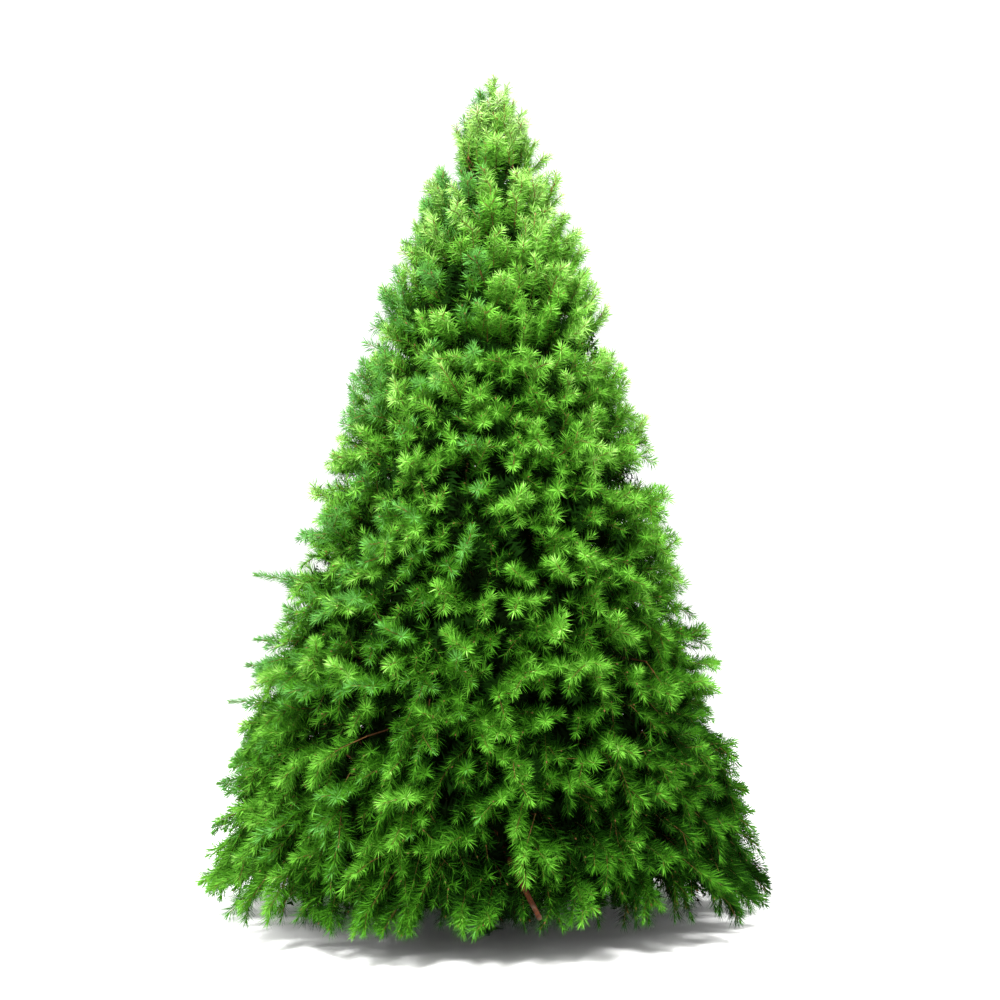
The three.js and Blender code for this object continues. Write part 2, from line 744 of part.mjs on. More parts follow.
function leaderMass() {
  const draw = seeded(SEED + 900);
  const onAxis = (z) => new THREE.Vector3(axisX(TRUNK_TOP), 0, z);
  const stem = [
    { at: onAxis(TRUNK_TOP + GAP), radius: TRUNK_TOP_RADIUS },
    { at: onAxis(LEADER_RINGS[1][0]), radius: 0.7 * TRUNK_TOP_RADIUS },
  ];
  const pieces = [solidOf(limb(stem, LIMB_SIDES)), leaderCore(draw)];
  for (let i = 0; i < LEADER_SPRAYS; i++) {
    const share = i / (LEADER_SPRAYS - 1);
    const angle = i * GOLDEN_ANGLE + radians(mix(-12, 12, draw()));
    const tipHeight =
      mix(LEADER_BASE + 26, TREE_HEIGHT, share ** 0.9) - 16 * draw() * (1 - share);
    const rootHeight = tipHeight - mix(...LEADER_SPRAY_RISE, share);
    const reach = outlineRadius(tipHeight) * mix(0.94, 1.08, draw()) + 6 * (1 - share);
    const spray = {
      root: new THREE.Vector3(axisX(rootHeight), 0, rootHeight),
      tip: new THREE.Vector3(
        axisX(tipHeight) + reach * Math.cos(angle),
        reach * Math.sin(angle),
        tipHeight,
      ),
      roll: radians(mix(-30, 30, draw())),
    };
    if (sprayPoints(spray).every(aboveNeck)) pieces.push(spraySolid(spray));
  }
  return fuse(pieces);
}
addMesh("foliage_leader", geometryOf(leaderMass()), NEEDLES[2]);

// Stand: a water bowl on four strap legs, with four screws that clamp the butt
const bowlWallAt = (z) => mix(BOWL_BASE_RADIUS, BOWL_RIM_RADIUS, z / BOWL_HEIGHT);
const facetShare = Math.cos(Math.PI / BOWL_SIDES); // a facet's distance over its corner's

// A round bar along +X between two distances from the trunk's axis
function alongX(radius, from, to, sides) {
  const bar = new THREE.CylinderGeometry(radius, radius, to - from, sides);
  bar.rotateZ(Math.PI / 2);
  bar.translate((from + to) / 2, 0, 0);
  return bar;
}

function bowlSolid() {
  const lip = 4;
  const inside = (z) => bowlWallAt(z) - BOWL_WALL;
  const profile = [
    [0, 0],
    [BOWL_BASE_RADIUS, 0],
    [bowlWallAt(BOWL_HEIGHT - lip), BOWL_HEIGHT - lip],
    [BOWL_RIM_RADIUS + lip, BOWL_HEIGHT - lip],
    [BOWL_RIM_RADIUS + lip, BOWL_HEIGHT],
    [inside(BOWL_HEIGHT), BOWL_HEIGHT],
    [inside(BOWL_FLOOR), BOWL_FLOOR],
    [0, BOWL_FLOOR],
  ].map(([x, y]) => new THREE.Vector2(x, y));
  const turned = new THREE.LatheGeometry(profile, BOWL_SIDES, Math.PI / BOWL_SIDES);
  turned.rotateX(Math.PI / 2);
  let bowl = solidOf(turned);
  for (let i = 0; i < SCREW_COUNT; i++) {
    const wall = bowlWallAt(SCREW_HEIGHT) * facetShare;
    const boss = alongX(BOSS_RADIUS, wall - 2, wall + 9, BOSS_SIDES);
    const hole = alongX(SCREW_RADIUS + GAP, wall - 30, wall + 30, BOSS_SIDES);
    boss.translate(0, 0, SCREW_HEIGHT);
    hole.translate(0, 0, SCREW_HEIGHT);
    const turn = Math.PI / 4 + (2 * Math.PI * i) / SCREW_COUNT;
    bowl = bowl
      .add(solidOf(boss.rotateZ(turn)))
      .subtract(solidOf(hole.rotateZ(turn)));
  }
  return bowl;
}
addMesh("stand_bowl", geometryOf(bowlSolid()), STEEL_GREEN);

function legGeometry() {
  const tabLow = 62;
  const tabHigh = 98;
  const wall = (z) => bowlWallAt(z) * facetShare + GAP;
  const footInner = LEG_REACH - 48;
  const outline = new THREE.Shape([
    new THREE.Vector2(wall(tabLow), tabLow),
    new THREE.Vector2(footInner, 0),
    new THREE.Vector2(LEG_REACH, 0),
    new THREE.Vector2(LEG_REACH, LEG_STRAP),
    new THREE.Vector2(footInner + 1.6, LEG_STRAP),
    new THREE.Vector2(wall(tabLow) + LEG_STRAP, tabLow + 3.2),
    new THREE.Vector2(wall(tabHigh) + LEG_STRAP, tabHigh),
    new THREE.Vector2(wall(tabHigh), tabHigh),
  ]);
  const strap = new THREE.ExtrudeGeometry(outline, {
    depth: LEG_WIDTH,
    bevelEnabled: false,
  });
  strap.translate(0, 0, -LEG_WIDTH / 2);
  strap.rotateX(Math.PI / 2);
  const surface = wall(BOLT_HEIGHT) + LEG_STRAP;
  const head = alongX(BOLT_RADIUS, surface - 1, surface + 5, LIMB_SIDES);
  head.translate(0, 0, BOLT_HEIGHT);
  return geometryOf(solidOf(strap).add(solidOf(head)));
}

function screwGeometry() {
  const padStart = trunkRadius(CLAMP_LOW) * Math.cos(Math.PI / TRUNK_SIDES) + GAP;
  const padEnd = padStart + PAD_DEPTH;
  const hubStart = SCREW_REACH - 14;
  const handle = new THREE.CylinderGeometry(4, 4, HANDLE_LENGTH, LIMB_SIDES);
  handle.rotateX(Math.PI / 2);
  handle.translate((hubStart + SCREW_REACH) / 2, 0, 0);
  const pieces = [
    alongX(PAD_RADIUS, padStart, padEnd, 10),
    alongX(SCREW_RADIUS, padEnd - 2, hubStart + 6, BOSS_SIDES),
    alongX(8, hubStart, SCREW_REACH, LIMB_SIDES),
    handle,
  ];
  return geometryOf(Manifold.union(pieces.map(solidOf)));
}

for (let i = 0; i < LEG_COUNT; i++) {
  const turned = new THREE.Group();
  turned.rotation.z = (2 * Math.PI * i) / LEG_COUNT;
  tree.add(turned);
  addMesh(`stand_leg_${i + 1}`, legGeometry(), STEEL_GREEN, turned);
}

for (let i = 0; i < SCREW_COUNT; i++) {
  const turned = new THREE.Group();
  turned.rotation.z = Math.PI / 4 + (2 * Math.PI * i) / SCREW_COUNT;
  turned.position.z = SCREW_HEIGHT;
  tree.add(turned);
  addMesh(`stand_screw_${i + 1}`, screwGeometry(), ZINC, turned);
}

export default tree;
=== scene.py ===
# %% [markdown]
# # A sheared fir in a plain steel stand
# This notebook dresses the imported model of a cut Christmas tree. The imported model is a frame:
# it says where the trunk, the boughs, each mass of foliage and the stand are, and nothing in it
# is moved. We grow real twigs and needles in the space of each mass, put bark on the wood and
# finish the steel of the stand.

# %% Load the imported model
import math
from collections import namedtuple

import bpy
import numpy as np
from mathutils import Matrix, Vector


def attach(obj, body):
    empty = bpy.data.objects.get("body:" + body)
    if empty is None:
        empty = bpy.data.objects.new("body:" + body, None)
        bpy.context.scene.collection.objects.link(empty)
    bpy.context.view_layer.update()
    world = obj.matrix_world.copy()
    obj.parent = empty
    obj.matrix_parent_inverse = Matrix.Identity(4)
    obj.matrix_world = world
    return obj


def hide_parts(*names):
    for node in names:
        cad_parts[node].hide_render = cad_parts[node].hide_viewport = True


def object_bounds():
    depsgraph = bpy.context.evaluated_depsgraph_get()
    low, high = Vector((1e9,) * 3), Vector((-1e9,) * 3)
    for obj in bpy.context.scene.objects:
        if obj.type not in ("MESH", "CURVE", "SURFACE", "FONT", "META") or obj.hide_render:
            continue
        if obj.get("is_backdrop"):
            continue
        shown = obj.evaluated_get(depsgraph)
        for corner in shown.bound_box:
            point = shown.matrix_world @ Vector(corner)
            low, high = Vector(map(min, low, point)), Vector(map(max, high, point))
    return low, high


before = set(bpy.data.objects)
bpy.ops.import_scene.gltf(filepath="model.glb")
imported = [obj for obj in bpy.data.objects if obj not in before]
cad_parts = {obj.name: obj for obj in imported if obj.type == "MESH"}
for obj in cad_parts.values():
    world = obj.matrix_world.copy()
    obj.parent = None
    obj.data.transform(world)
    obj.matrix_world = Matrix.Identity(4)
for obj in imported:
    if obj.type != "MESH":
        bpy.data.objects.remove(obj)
cad_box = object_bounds()
bpy.ops.object.select_all(action="DESELECT")
print("nodes in the frame:", len(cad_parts))

# %% [markdown]
# ## Camera
# A picture of a whole tree is taken from some metres away, level, at half the tree's height, so
# that its sides stay upright. We work out the lens from two facts: how far the camera stands
# from the trunk, and how many millimetres of the tree one dot of a 1000-dot picture covers.

# %% Camera
CAMERA_DISTANCE = 5.2
CAMERA_HEIGHT = 1.039
CAMERA_SIDE = 0.040
MILLIMETRES_PER_DOT = 2.515
SENSOR_WIDTH = 36

camera_data = bpy.data.cameras.new("camera")
camera_data.sensor_width = SENSOR_WIDTH
camera_data.lens = SENSOR_WIDTH * CAMERA_DISTANCE / MILLIMETRES_PER_DOT
camera = bpy.data.objects.new("camera", camera_data)
bpy.context.collection.objects.link(camera)
camera.location = (CAMERA_SIDE, -CAMERA_DISTANCE, CAMERA_HEIGHT)
camera.rotation_euler = (math.radians(90), 0, 0)
bpy.context.scene.camera = camera
print("lens in mm:", round(camera_data.lens, 1))

# %% [markdown]
# ## Measures of the tree
# The masses of foliage in the frame were grown by a rule. We repeat that rule here with the same
# measures and the same seeds, so that every branchlet we add grows where the frame has one. The
# rule works in millimetres, and the meshes are made in metres.

# %% Measures of the crown
METRES = 0.001
TREE_HEIGHT = 2100
CROWN_RADIUS = 722
CROWN_FULLNESS = 0.715
TREE_LEAN = 26
SKIRT_BASE = 92
SKIRT_CLEAR = 42
SKIRT_INNER_HEIGHT = 345
SKIRT_HANG = 0.16
SKIRT_GROWTH = -28
TOP_GROWTH = 85
GROWTH_POWER = 1.1
SEED = 2024
BOWL_HEIGHT = 130
CUT_HEIGHT = 5.3
TRUNK_TOP = 1772
TRUNK_RADII = (41, 8)
TRUNK_TAPER = 0.92
ROOT_FLARE = 5
ROOT_FLARE_HEIGHT = 70

Tier = namedtuple("Tier", "name sectors turn base cells sprays")
TIERS = [
    Tier("skirt", 7, 45, SKIRT_BASE, (4, 3), (3, 3)),
    Tier("low", 6, 22, 395, (4, 4), (3, 3)),
    Tier("middle", 5, 27, 765, (4, 4), (3, 3)),
    Tier("high", 5, 63, 1115, (4, 4), (3, 3)),
    Tier("shoulder", 4, 20, 1440, (4, 3), (3, 3)),
    Tier("neck", 3, 70, 1730, (4, 3), (3, 2)),
]
BOUGH_TIERS = 3
LEADER_BASE = 1888
STRAYS = [
    (178, 852, 596),
    (183, 690, 590),
    (176, 620, 618),
    (182, 533, 650),
    (175, 372, 645),
    (184, 330, 676),
    (178, 218, 690),
    (181, 84, 700),
    (-1, 78, 703),
    (4, 306, 662),
    (-4, 634, 586),
    (2, 1236, 394),
    (-6, 1668, 226),
]

# %% Measures of the growth rule
TIER_SLOPE = 0.85
WAVE_HEIGHT = 22
WAVE_ANGLE = math.radians(4.5)
SPACE_MARGIN = 2.5
CORE_MARGIN = 5
TOUCH_SLANT = 0.9
CORE_INNER = 0.28
CORE_WIDE = 0.5
CORE_OUTER = 0.74
CORE_ROUGHNESS = 0.04
STEM_START = 0.27
GIRTH = (9, 5)
GIRTH_FLARE = 1.5
SHOOT_LENGTH = (150, 95)
SHOOT_TURN = 16
SHOOT_LIFT = 14
SHOOT_OUTERMOST = 0.985
SPRAY_LENGTH = (225, 140)
SPRAY_WIDTH_SHARE = 0.22
SPRAY_RIDGE_SHARE = 0.08
SPRAY_DROOP_SHARE = 0.05
SPRAY_TOOTH = 0.43
SPRAY_NOTCH = 0.58
SPRAY_NOTCH_WIDTH = 0.5
SPRAY_RIDGE = 0.5
SPRAY_SINK = 20
SPRAY_APART = 0.2
SPRAY_PROBES = (0.45, 0.65, 0.85, 1)
SPRAY_REACH = (0.94, 1.03)
SPRAY_TURN = 26
SPRAY_LIFT = 15
SPRAY_ROLL = 55
SPRAY_TRIES = 9
STRAY_LENGTH = (250, 150)
LEADER_RINGS = [(1832, 0.42), (1892, 0.56), (1950, 0.46), (2006, 0.3)]
LEADER_SIDES = 8
LEADER_SPRAYS = 16
LEADER_SPRAY_RISE = (115, 100)
GOLDEN_ANGLE = math.pi * (3 - math.sqrt(5))

# %% Small helpers
WORD = 0xFFFFFFFF


def mix(a, b, share):
    return a + (b - a) * share


def clamp(value, low, high):
    return min(high, max(low, value))


def height_share(z):
    """0 on the floor and 1 at the top of the tree."""
    return clamp(z / TREE_HEIGHT, 0, 1)


def seeded(seed):
    """Random numbers in 0..1 that repeat for a seed, the same ones as in the frame."""
    state = seed & WORD

    def draw():
        nonlocal state
        state = (state + 0x6D2B79F5) & WORD
        t = ((state ^ (state >> 15)) * (state | 1)) & WORD
        t ^= (t + (((t ^ (t >> 7)) * (t | 61)) & WORD)) & WORD
        return ((t ^ (t >> 14)) & WORD) / 2**32

    return draw


def between(ends, draw):
    return mix(*ends, draw())


def either_way(most, draw):
    """A random number from minus the most to the most."""
    return mix(-most, most, draw())


def unit(vector):
    """The vector at length 1; a vector of no length stays as it is."""
    return vector / (np.linalg.norm(vector) or 1)


def point(x, y, z):
    return np.array((x, y, z), float)


def from_hex(text):
    values = [int(text[i : i + 2], 16) / 255 for i in (1, 3, 5)]
    linear = [v / 12.92 if v <= 0.04045 else ((v + 0.055) / 1.055) ** 2.4 for v in values]
    return (*linear, 1)


def plain_material(name, colour, roughness, gloss=0.4):
    material = bpy.data.materials.new(name)
    material.use_nodes = True
    shader = material.node_tree.nodes["Principled BSDF"]
    shader.inputs["Base Color"].default_value = from_hex(colour)
    shader.inputs["Roughness"].default_value = roughness
    shader.inputs["Specular IOR Level"].default_value = gloss
    return material


# %% [markdown]
# ## Outline of the crown
# The shears left a rounded cone, which leans a little. Shoots droop near the floor, stand level
# at the lower third and climb steeply near the top. Each tier of branches has a lower face that
# follows that angle and waves up and down round the tree.

# %% Outline of the crown
LEAST_BELOW_TOP = 0.002


def axis_x(z):
    return TREE_LEAN * max(0, z - BOWL_HEIGHT) / (TREE_HEIGHT - BOWL_HEIGHT)


def from_trunk(place):
    """The level way from the trunk's middle to a place."""
    return point(place[0] - axis_x(place[2]), place[1], 0)


def axis_angle(place):
    return math.atan2(place[1], place[0] - axis_x(place[2]))


def axis_distance(place):
    return math.hypot(place[0] - axis_x(place[2]), place[1])


def round_axis(angle, radius, z):
    """The place at an angle and a distance round the leaning axis of the tree."""
    return point(axis_x(z) + radius * math.cos(angle), radius * math.sin(angle), z)


def outline_radius(z):
    return CROWN_RADIUS * clamp((TREE_HEIGHT - z) / TREE_HEIGHT, 0, 1) ** CROWN_FULLNESS


def inwards(places):
    """How many millimetres inside the outline each place lies."""
    lean = TREE_LEAN * np.maximum(0, places[:, 2] - BOWL_HEIGHT) / (TREE_HEIGHT - BOWL_HEIGHT)
    radius = np.hypot(places[:, 0] - lean, places[:, 1])
    below = np.clip((TREE_HEIGHT - places[:, 2]) / TREE_HEIGHT, LEAST_BELOW_TOP, 1)
    return CROWN_RADIUS * below**CROWN_FULLNESS - radius


def growth_angle(z):
    return math.radians(mix(SKIRT_GROWTH, TOP_GROWTH, height_share(z) ** GROWTH_POWER))


def tier_face(base):
    """The height of a tier's lower face, which waves in two rhythms round the trunk."""
    rim = outline_radius(base)
    slope = math.tan(growth_angle(base) * TIER_SLOPE)
    if base == SKIRT_BASE:
        slope = (SKIRT_BASE - SKIRT_INNER_HEIGHT) / rim

    def face(radius, angle):
        wave = math.sin(3 * angle + base) + 0.6 * math.sin(7 * angle + 2 * base)
        return base + slope * (radius - rim) + WAVE_HEIGHT * wave * radius / CROWN_RADIUS

    return face


def growth_direction(place, turn, lift):
    """The way a shoot grows at a place, turned sideways and lifted by two angles."""
    heading = axis_angle(place) + turn
    climb = growth_angle(place[2]) + lift
    flat = math.cos(climb)
    return point(flat * math.cos(heading), flat * math.sin(heading), math.sin(climb))


print("outline radius at half height in mm:", round(outline_radius(TREE_HEIGHT / 2)))

# %% [markdown]
# ## The space of one mass
# A branch of a sheared tree fills its own wedge of the crown. A place in the wedge is given by
# three shares: across from side to side, up from the lower face to the upper one, and out from
# the trunk to the outline. The class turns shares into a place and a place into shares.

# %% The space of one mass
HALVINGS = 30
Shares = namedtuple("Shares", "across up out wide tall")


class Space:
    """A wedge of the crown between two faces and two sides."""

    def __init__(self, lower, upper, start, end, lowest):
        self.lower = lower
        self.upper = upper
        self.start = start
        self.end = end
        self.lowest = lowest
        self.middle = (start + end) / 2
        self.hang = SKIRT_HANG if lowest else 0

    def height_at(self, radius, angle, up):
        return mix(self.lower(radius, angle), self.upper(radius, angle), up)

    def side_at(self, side, up):
        return side + WAVE_ANGLE * math.sin(5 * up + 3 * side)

    def rim_radius(self, up, angle):
        near, far = 0, CROWN_RADIUS
        for _ in range(HALVINGS):
            half = (near + far) / 2
            if half < outline_radius(self.height_at(half, angle, up)):
                near = half
            else:
                far = half
        return near

    def place(self, across, up, out):
        angle = mix(self.side_at(self.start, up), self.side_at(self.end, up), across)
        radius = out * self.rim_radius(up, angle)
        return round_axis(angle, radius, self.height_at(radius, angle, up))

    def shares(self, place):
        radius = axis_distance(place)
        turned = axis_angle(place) - self.middle
        angle = math.atan2(math.sin(turned), math.cos(turned)) + self.middle
        low, high = self.lower(radius, angle), self.upper(radius, angle)
        up = (place[2] - low) / (high - low)
        held = clamp(up, 0, 1)
        begin, end = self.side_at(self.start, held), self.side_at(self.end, held)
        return Shares(
            (angle - begin) / (end - begin),
            up,
            radius / self.rim_radius(held, angle),
            radius * (end - begin),
            high - low,
        )

    def clearance(self, place):
        """How far inside the sides and the lower and upper faces a place lies."""
        at = self.shares(place)
        to_side = min(at.across, 1 - at.across) * at.wide
        to_lower = TOUCH_SLANT * at.up * at.tall
        if self.lowest:
            to_lower = place[2] - self.lowest
        return min(TOUCH_SLANT * to_side, to_lower, TOUCH_SLANT * (1 - at.up) * at.tall)

    def size(self, out):
        radius = out * self.rim_radius(0.5, self.middle)
        wide = radius * (self.end - self.start)
        return wide, self.upper(radius, self.middle) - self.lower(radius, self.middle)


# %% [markdown]
# ## Wood with real bark
# The trunk and the boughs are drawn out ring by ring. Two relief textures then push the surface
# in and out: long furrows, and the small blisters that hold a young fir's resin.

# %% Draw a round piece out ring by ring
def finish_edit(name):
    """Leaves edit mode with all faces pointing outwards, and names the new piece."""
    bpy.ops.mesh.select_all(action="SELECT")
    bpy.ops.mesh.normals_make_consistent(inside=False)
    bpy.ops.object.mode_set(mode="OBJECT")
    piece = bpy.context.active_object
    piece.name = name
    piece.data.name = name
    return piece


def drawn_rings(name, rings, sides):
    """A closed piece along z through rings, each (middle x, height, radius) in millimetres."""
    rings = [tuple(value * METRES for value in ring) for ring in rings]
    x, z, radius = rings[0]
    bpy.ops.object.select_all(action="DESELECT")
    bpy.ops.mesh.primitive_circle_add(
        vertices=sides, radius=radius, fill_type="NGON", location=(x, 0, z)
    )
    bpy.ops.object.transform_apply(location=True, rotation=True, scale=True)
    bpy.ops.object.mode_set(mode="EDIT")
    bpy.ops.mesh.select_all(action="SELECT")
    for next_x, next_z, next_radius in rings[1:]:
        step = (next_x - x, 0, next_z - z)
        bpy.ops.mesh.extrude_region_move(TRANSFORM_OT_translate={"value": step})
        grown = next_radius / radius
        middle = (next_x, 0, next_z)
        bpy.ops.transform.resize(value=(grown, grown, 1), center_override=middle)
        x, z, radius = next_x, next_z, next_radius
    return finish_edit(name)


def outline_rings(outline, start=0):
    """Rings round the z axis from pairs of a distance beyond start and a radius."""
    return [(0, start + along, radius) for along, radius in outline]


def select_only(piece):
    bpy.ops.object.select_all(action="DESELECT")
    piece.select_set(True)
    bpy.context.view_layer.objects.active = piece


def laid(piece, start, way):
    """Turns a piece that was made along z to point along way, and moves it to start."""
    select_only(piece)
    piece.rotation_euler = Vector(way).to_track_quat("Z", "Y").to_euler()
    piece.location = Vector(start) * METRES
    bpy.ops.object.transform_apply(location=True, rotation=True, scale=True)
    return piece


# %% Relief of bark
FURROWS = ("CLOUDS", 0.007, 5, 2.6)
BLISTERS = ("VORONOI", 0.009, 1, 1.3)
SMOOTH_ANGLE = math.radians(35)


def add_relief(piece, kind, size, stretch, depth):
    """Pushes the surface in and out by a texture that is stretched along the piece."""
    texture = bpy.data.textures.new(f"{piece.name}_{kind}", kind)
    texture.noise_scale = size
    guide = bpy.data.objects.new("relief_guide", None)
    guide.scale = (1, 1, stretch)
    bpy.context.collection.objects.link(guide)
    select_only(piece)
    relief = piece.modifiers.new("relief", "DISPLACE")
    relief.texture = texture
    relief.texture_coords = "OBJECT"
    relief.texture_coords_object = guide
    relief.strength = depth * METRES
    bpy.ops.object.modifier_apply(modifier=relief.name)
    bpy.data.objects.remove(guide)


def give_bark(piece, material):
    add_relief(piece, *FURROWS)
    add_relief(piece, *BLISTERS)
    bpy.ops.object.shade_smooth_by_angle(angle=SMOOTH_ANGLE)
    piece.data.materials.append(material)


# %% Bark, enamel and zinc
TONES = (("Dark", "NodeSocketColor"), ("Light", "NodeSocketColor"))
SURFACE = (
    ("Color", "NodeSocketColor"),
    ("Roughness", "NodeSocketFloat"),
    ("Normal", "NodeSocketVector"),
)
LICHEN = "#66665a"
BARE_STEEL = "#4a4f4c"


def effect_group(name):
    """An empty node group that will make a surface out of two tones, and its end nodes."""
    group = bpy.data.node_groups.new(name, "ShaderNodeTree")
    for sockets, way in ((TONES, "INPUT"), (SURFACE, "OUTPUT")):
        for socket, kind in sockets:
            group.interface.new_socket(socket, in_out=way, socket_type=kind)
    return group, group.nodes.new("NodeGroupInput"), group.nodes.new("NodeGroupOutput")


def join_surface(group, result, **surface):
    """Joins a colour, a roughness and a normal to the outputs of a node group."""
    for socket, value in surface.items():
        group.links.new(value, result.inputs[socket])
    return group


def noise_node(tree, scale, detail, along_z=1):
    """Noise in the object's own coordinates; along_z below 1 draws it out along z."""
    coordinates = tree.nodes.new("ShaderNodeTexCoord")
    mapping = tree.nodes.new("ShaderNodeMapping")
    mapping.inputs["Scale"].default_value = (1, 1, along_z)
    tree.links.new(coordinates.outputs["Object"], mapping.inputs["Vector"])
    noise = tree.nodes.new("ShaderNodeTexNoise")
    noise.inputs["Scale"].default_value = scale
    noise.inputs["Detail"].default_value = detail
    tree.links.new(mapping.outputs["Vector"], noise.inputs["Vector"])
    return noise.outputs["Fac"]


def blend_node(tree, share, first, second):
    """A colour between two sockets or plain colours, by a share."""
    blend = tree.nodes.new("ShaderNodeMix")
    blend.data_type = "RGBA"
    tree.links.new(share, blend.inputs["Factor"])
    for socket, colour in ((blend.inputs["A"], first), (blend.inputs["B"], second)):
        if isinstance(colour, str):
            socket.default_value = from_hex(colour)
        else:
            tree.links.new(colour, socket)
    return blend.outputs["Result"]


def spread_node(tree, value, low, high, to_low=0, to_high=1):
    """Maps one range of values to another."""
    spread = tree.nodes.new("ShaderNodeMapRange")
    ends = {"From Min": low, "From Max": high, "To Min": to_low, "To Max": to_high}
    for socket, number in ends.items():
        spread.inputs[socket].default_value = number
    tree.links.new(value, spread.inputs["Value"])
    return spread.outputs["Result"]


def bump_node(tree, height, depth):
    bump = tree.nodes.new("ShaderNodeBump")
    bump.inputs["Distance"].default_value = depth * METRES
    tree.links.new(height, bump.inputs["Height"])
    return bump.outputs["Normal"]


def bark_effect():
    """Scaly bark, dark in its furrows, with faint lichen-grey patches."""
    group, given, result = effect_group("bark_effect")
    furrow = noise_node(group, scale=150, detail=8, along_z=0.45)
    patches = noise_node(group, scale=22, detail=3)
    grain = noise_node(group, scale=520, detail=5, along_z=0.7)
    ridges = spread_node(group, furrow, 0.35, 0.65)
    wood = blend_node(group, ridges, given.outputs["Dark"], given.outputs["Light"])
    lichen = spread_node(group, patches, 0.56, 0.72, to_high=0.3)
    scales = blend_node(group, spread_node(group, grain, 0.35, 0.6), given.outputs["Dark"], wood)
    return join_surface(
        group,
        result,
        Color=blend_node(group, lichen, scales, LICHEN),
        Roughness=spread_node(group, grain, 0, 1, to_low=0.7, to_high=0.95),
        Normal=bump_node(group, grain, depth=0.9),
    )


def enamel_effect():
    """Baked enamel: faint orange peel, a cloudy change between two tones and worn edges."""
    group, given, result = effect_group("enamel_effect")
    cloud = noise_node(group, scale=9, detail=4)
    peel = noise_node(group, scale=900, detail=2)
    coat = blend_node(group, spread_node(group, cloud, 0.3, 0.7), *given.outputs[:2])
    shape = group.nodes.new("ShaderNodeNewGeometry")
    chips = noise_node(group, scale=260, detail=4)
    edge = group.nodes.new("ShaderNodeMath")
    edge.operation = "MULTIPLY"
    group.links.new(spread_node(group, shape.outputs["Pointiness"], 0.56, 0.68), edge.inputs[0])
    group.links.new(spread_node(group, chips, 0.52, 0.64), edge.inputs[1])
    return join_surface(
        group,
        result,
        Color=blend_node(group, edge.outputs["Value"], coat, BARE_STEEL),
        Roughness=spread_node(group, cloud, 0.3, 0.7, to_low=0.28, to_high=0.42),
        Normal=bump_node(group, peel, depth=0.08),
    )


def zinc_effect():
    """Zinc plating: small crystals of two tones and fine rub marks."""
    group, given, result = effect_group("zinc_effect")
    crystals = noise_node(group, scale=130, detail=1)
    rubs = noise_node(group, scale=260, detail=3, along_z=8)
    return join_surface(
        group,
        result,
        Color=blend_node(group, spread_node(group, crystals, 0.4, 0.6), *given.outputs[:2]),
        Roughness=spread_node(group, rubs, 0.3, 0.7, to_low=0.25, to_high=0.45),
        Normal=bump_node(group, rubs, depth=0.05),
    )


def effect_material(name, group, dark, light, metal=0.0, gloss=0.5):
    """A material whose colour, roughness and normal come from an effect in two tones."""
    material = plain_material(name, dark, 0.5, gloss)
    tree = material.node_tree
    shader = tree.nodes["Principled BSDF"]
    shader.inputs["Metallic"].default_value = metal
    effect = tree.nodes.new("ShaderNodeGroup")
    effect.node_tree = group
    effect.inputs["Dark"].default_value = from_hex(dark)
    effect.inputs["Light"].default_value = from_hex(light)
    for ours, theirs in (("Color", "Base Color"), ("Roughness", "Roughness"), ("Normal", "Normal")):
        tree.links.new(effect.outputs[ours], shader.inputs[theirs])
    return material


bark = bark_effect()
trunk_bark = effect_material("trunk_bark", bark, "#1f1610", "#5b493a", gloss=0.2)
bough_bark = effect_material("bough_bark", bark, "#200d04", "#4b2309", gloss=0.1)
green_enamel = effect_material("green_enamel", enamel_effect(), "#08281a", "#0e3a22")
zinc = effect_material("zinc", zinc_effect(), "#5d6265", "#8b9092", metal=1.0)

# %% Trunk
TRUNK_SIDES = 56
FINE_RING = 7
COARSE_RING = 28
FINE_RINGS_TO = 430


def trunk_radius(z):
    above_cut = z - CUT_HEIGHT
    share = above_cut / (TRUNK_TOP - CUT_HEIGHT)
    flare = ROOT_FLARE * math.exp(-above_cut / ROOT_FLARE_HEIGHT)
    return mix(*TRUNK_RADII, share**TRUNK_TAPER) + flare


def trunk_heights():
    """Heights of the trunk's rings, close together where the trunk can be seen."""
    z = CUT_HEIGHT
    while z < TRUNK_TOP:
        yield z
        z += FINE_RING if z < FINE_RINGS_TO else COARSE_RING
    yield TRUNK_TOP


trunk_rings = [(axis_x(z), z, trunk_radius(z)) for z in trunk_heights()]
trunk = drawn_rings("trunk_wood", trunk_rings, TRUNK_SIDES)
give_bark(trunk, trunk_bark)
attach(trunk, "root")
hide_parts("trunk")
print("trunk rings:", len(trunk_rings))

# %% Boughs
BOUGH_SIDES = 20
BOUGH_RING = 6
COLLAR = 0.45
COLLAR_LENGTH = 12


def grow_bough(name, space, girth):
    """A bough from the trunk's middle to its mass, with a collar where it leaves the trunk."""
    start, end = space.place(0.5, 0.5, 0), space.place(0.5, 0.5, STEM_START)
    length = np.linalg.norm(end - start)
    leaves_at = trunk_radius(start[2])
    count = round(length / BOUGH_RING)
    rings = []
    for i in range(count + 1):
        along = length * i / count
        radius = girth * mix(GIRTH_FLARE, 1, i / count)
        radius += girth * COLLAR * math.exp(-max(0, along - leaves_at) / COLLAR_LENGTH)
        rings.append((0, along, radius))
    bough = drawn_rings(f"bough_wood_{name}", rings, BOUGH_SIDES)
    give_bark(bough, bough_bark)
    laid(bough, start, end - start)
    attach(bough, "root")
    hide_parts(f"bough_{name}")


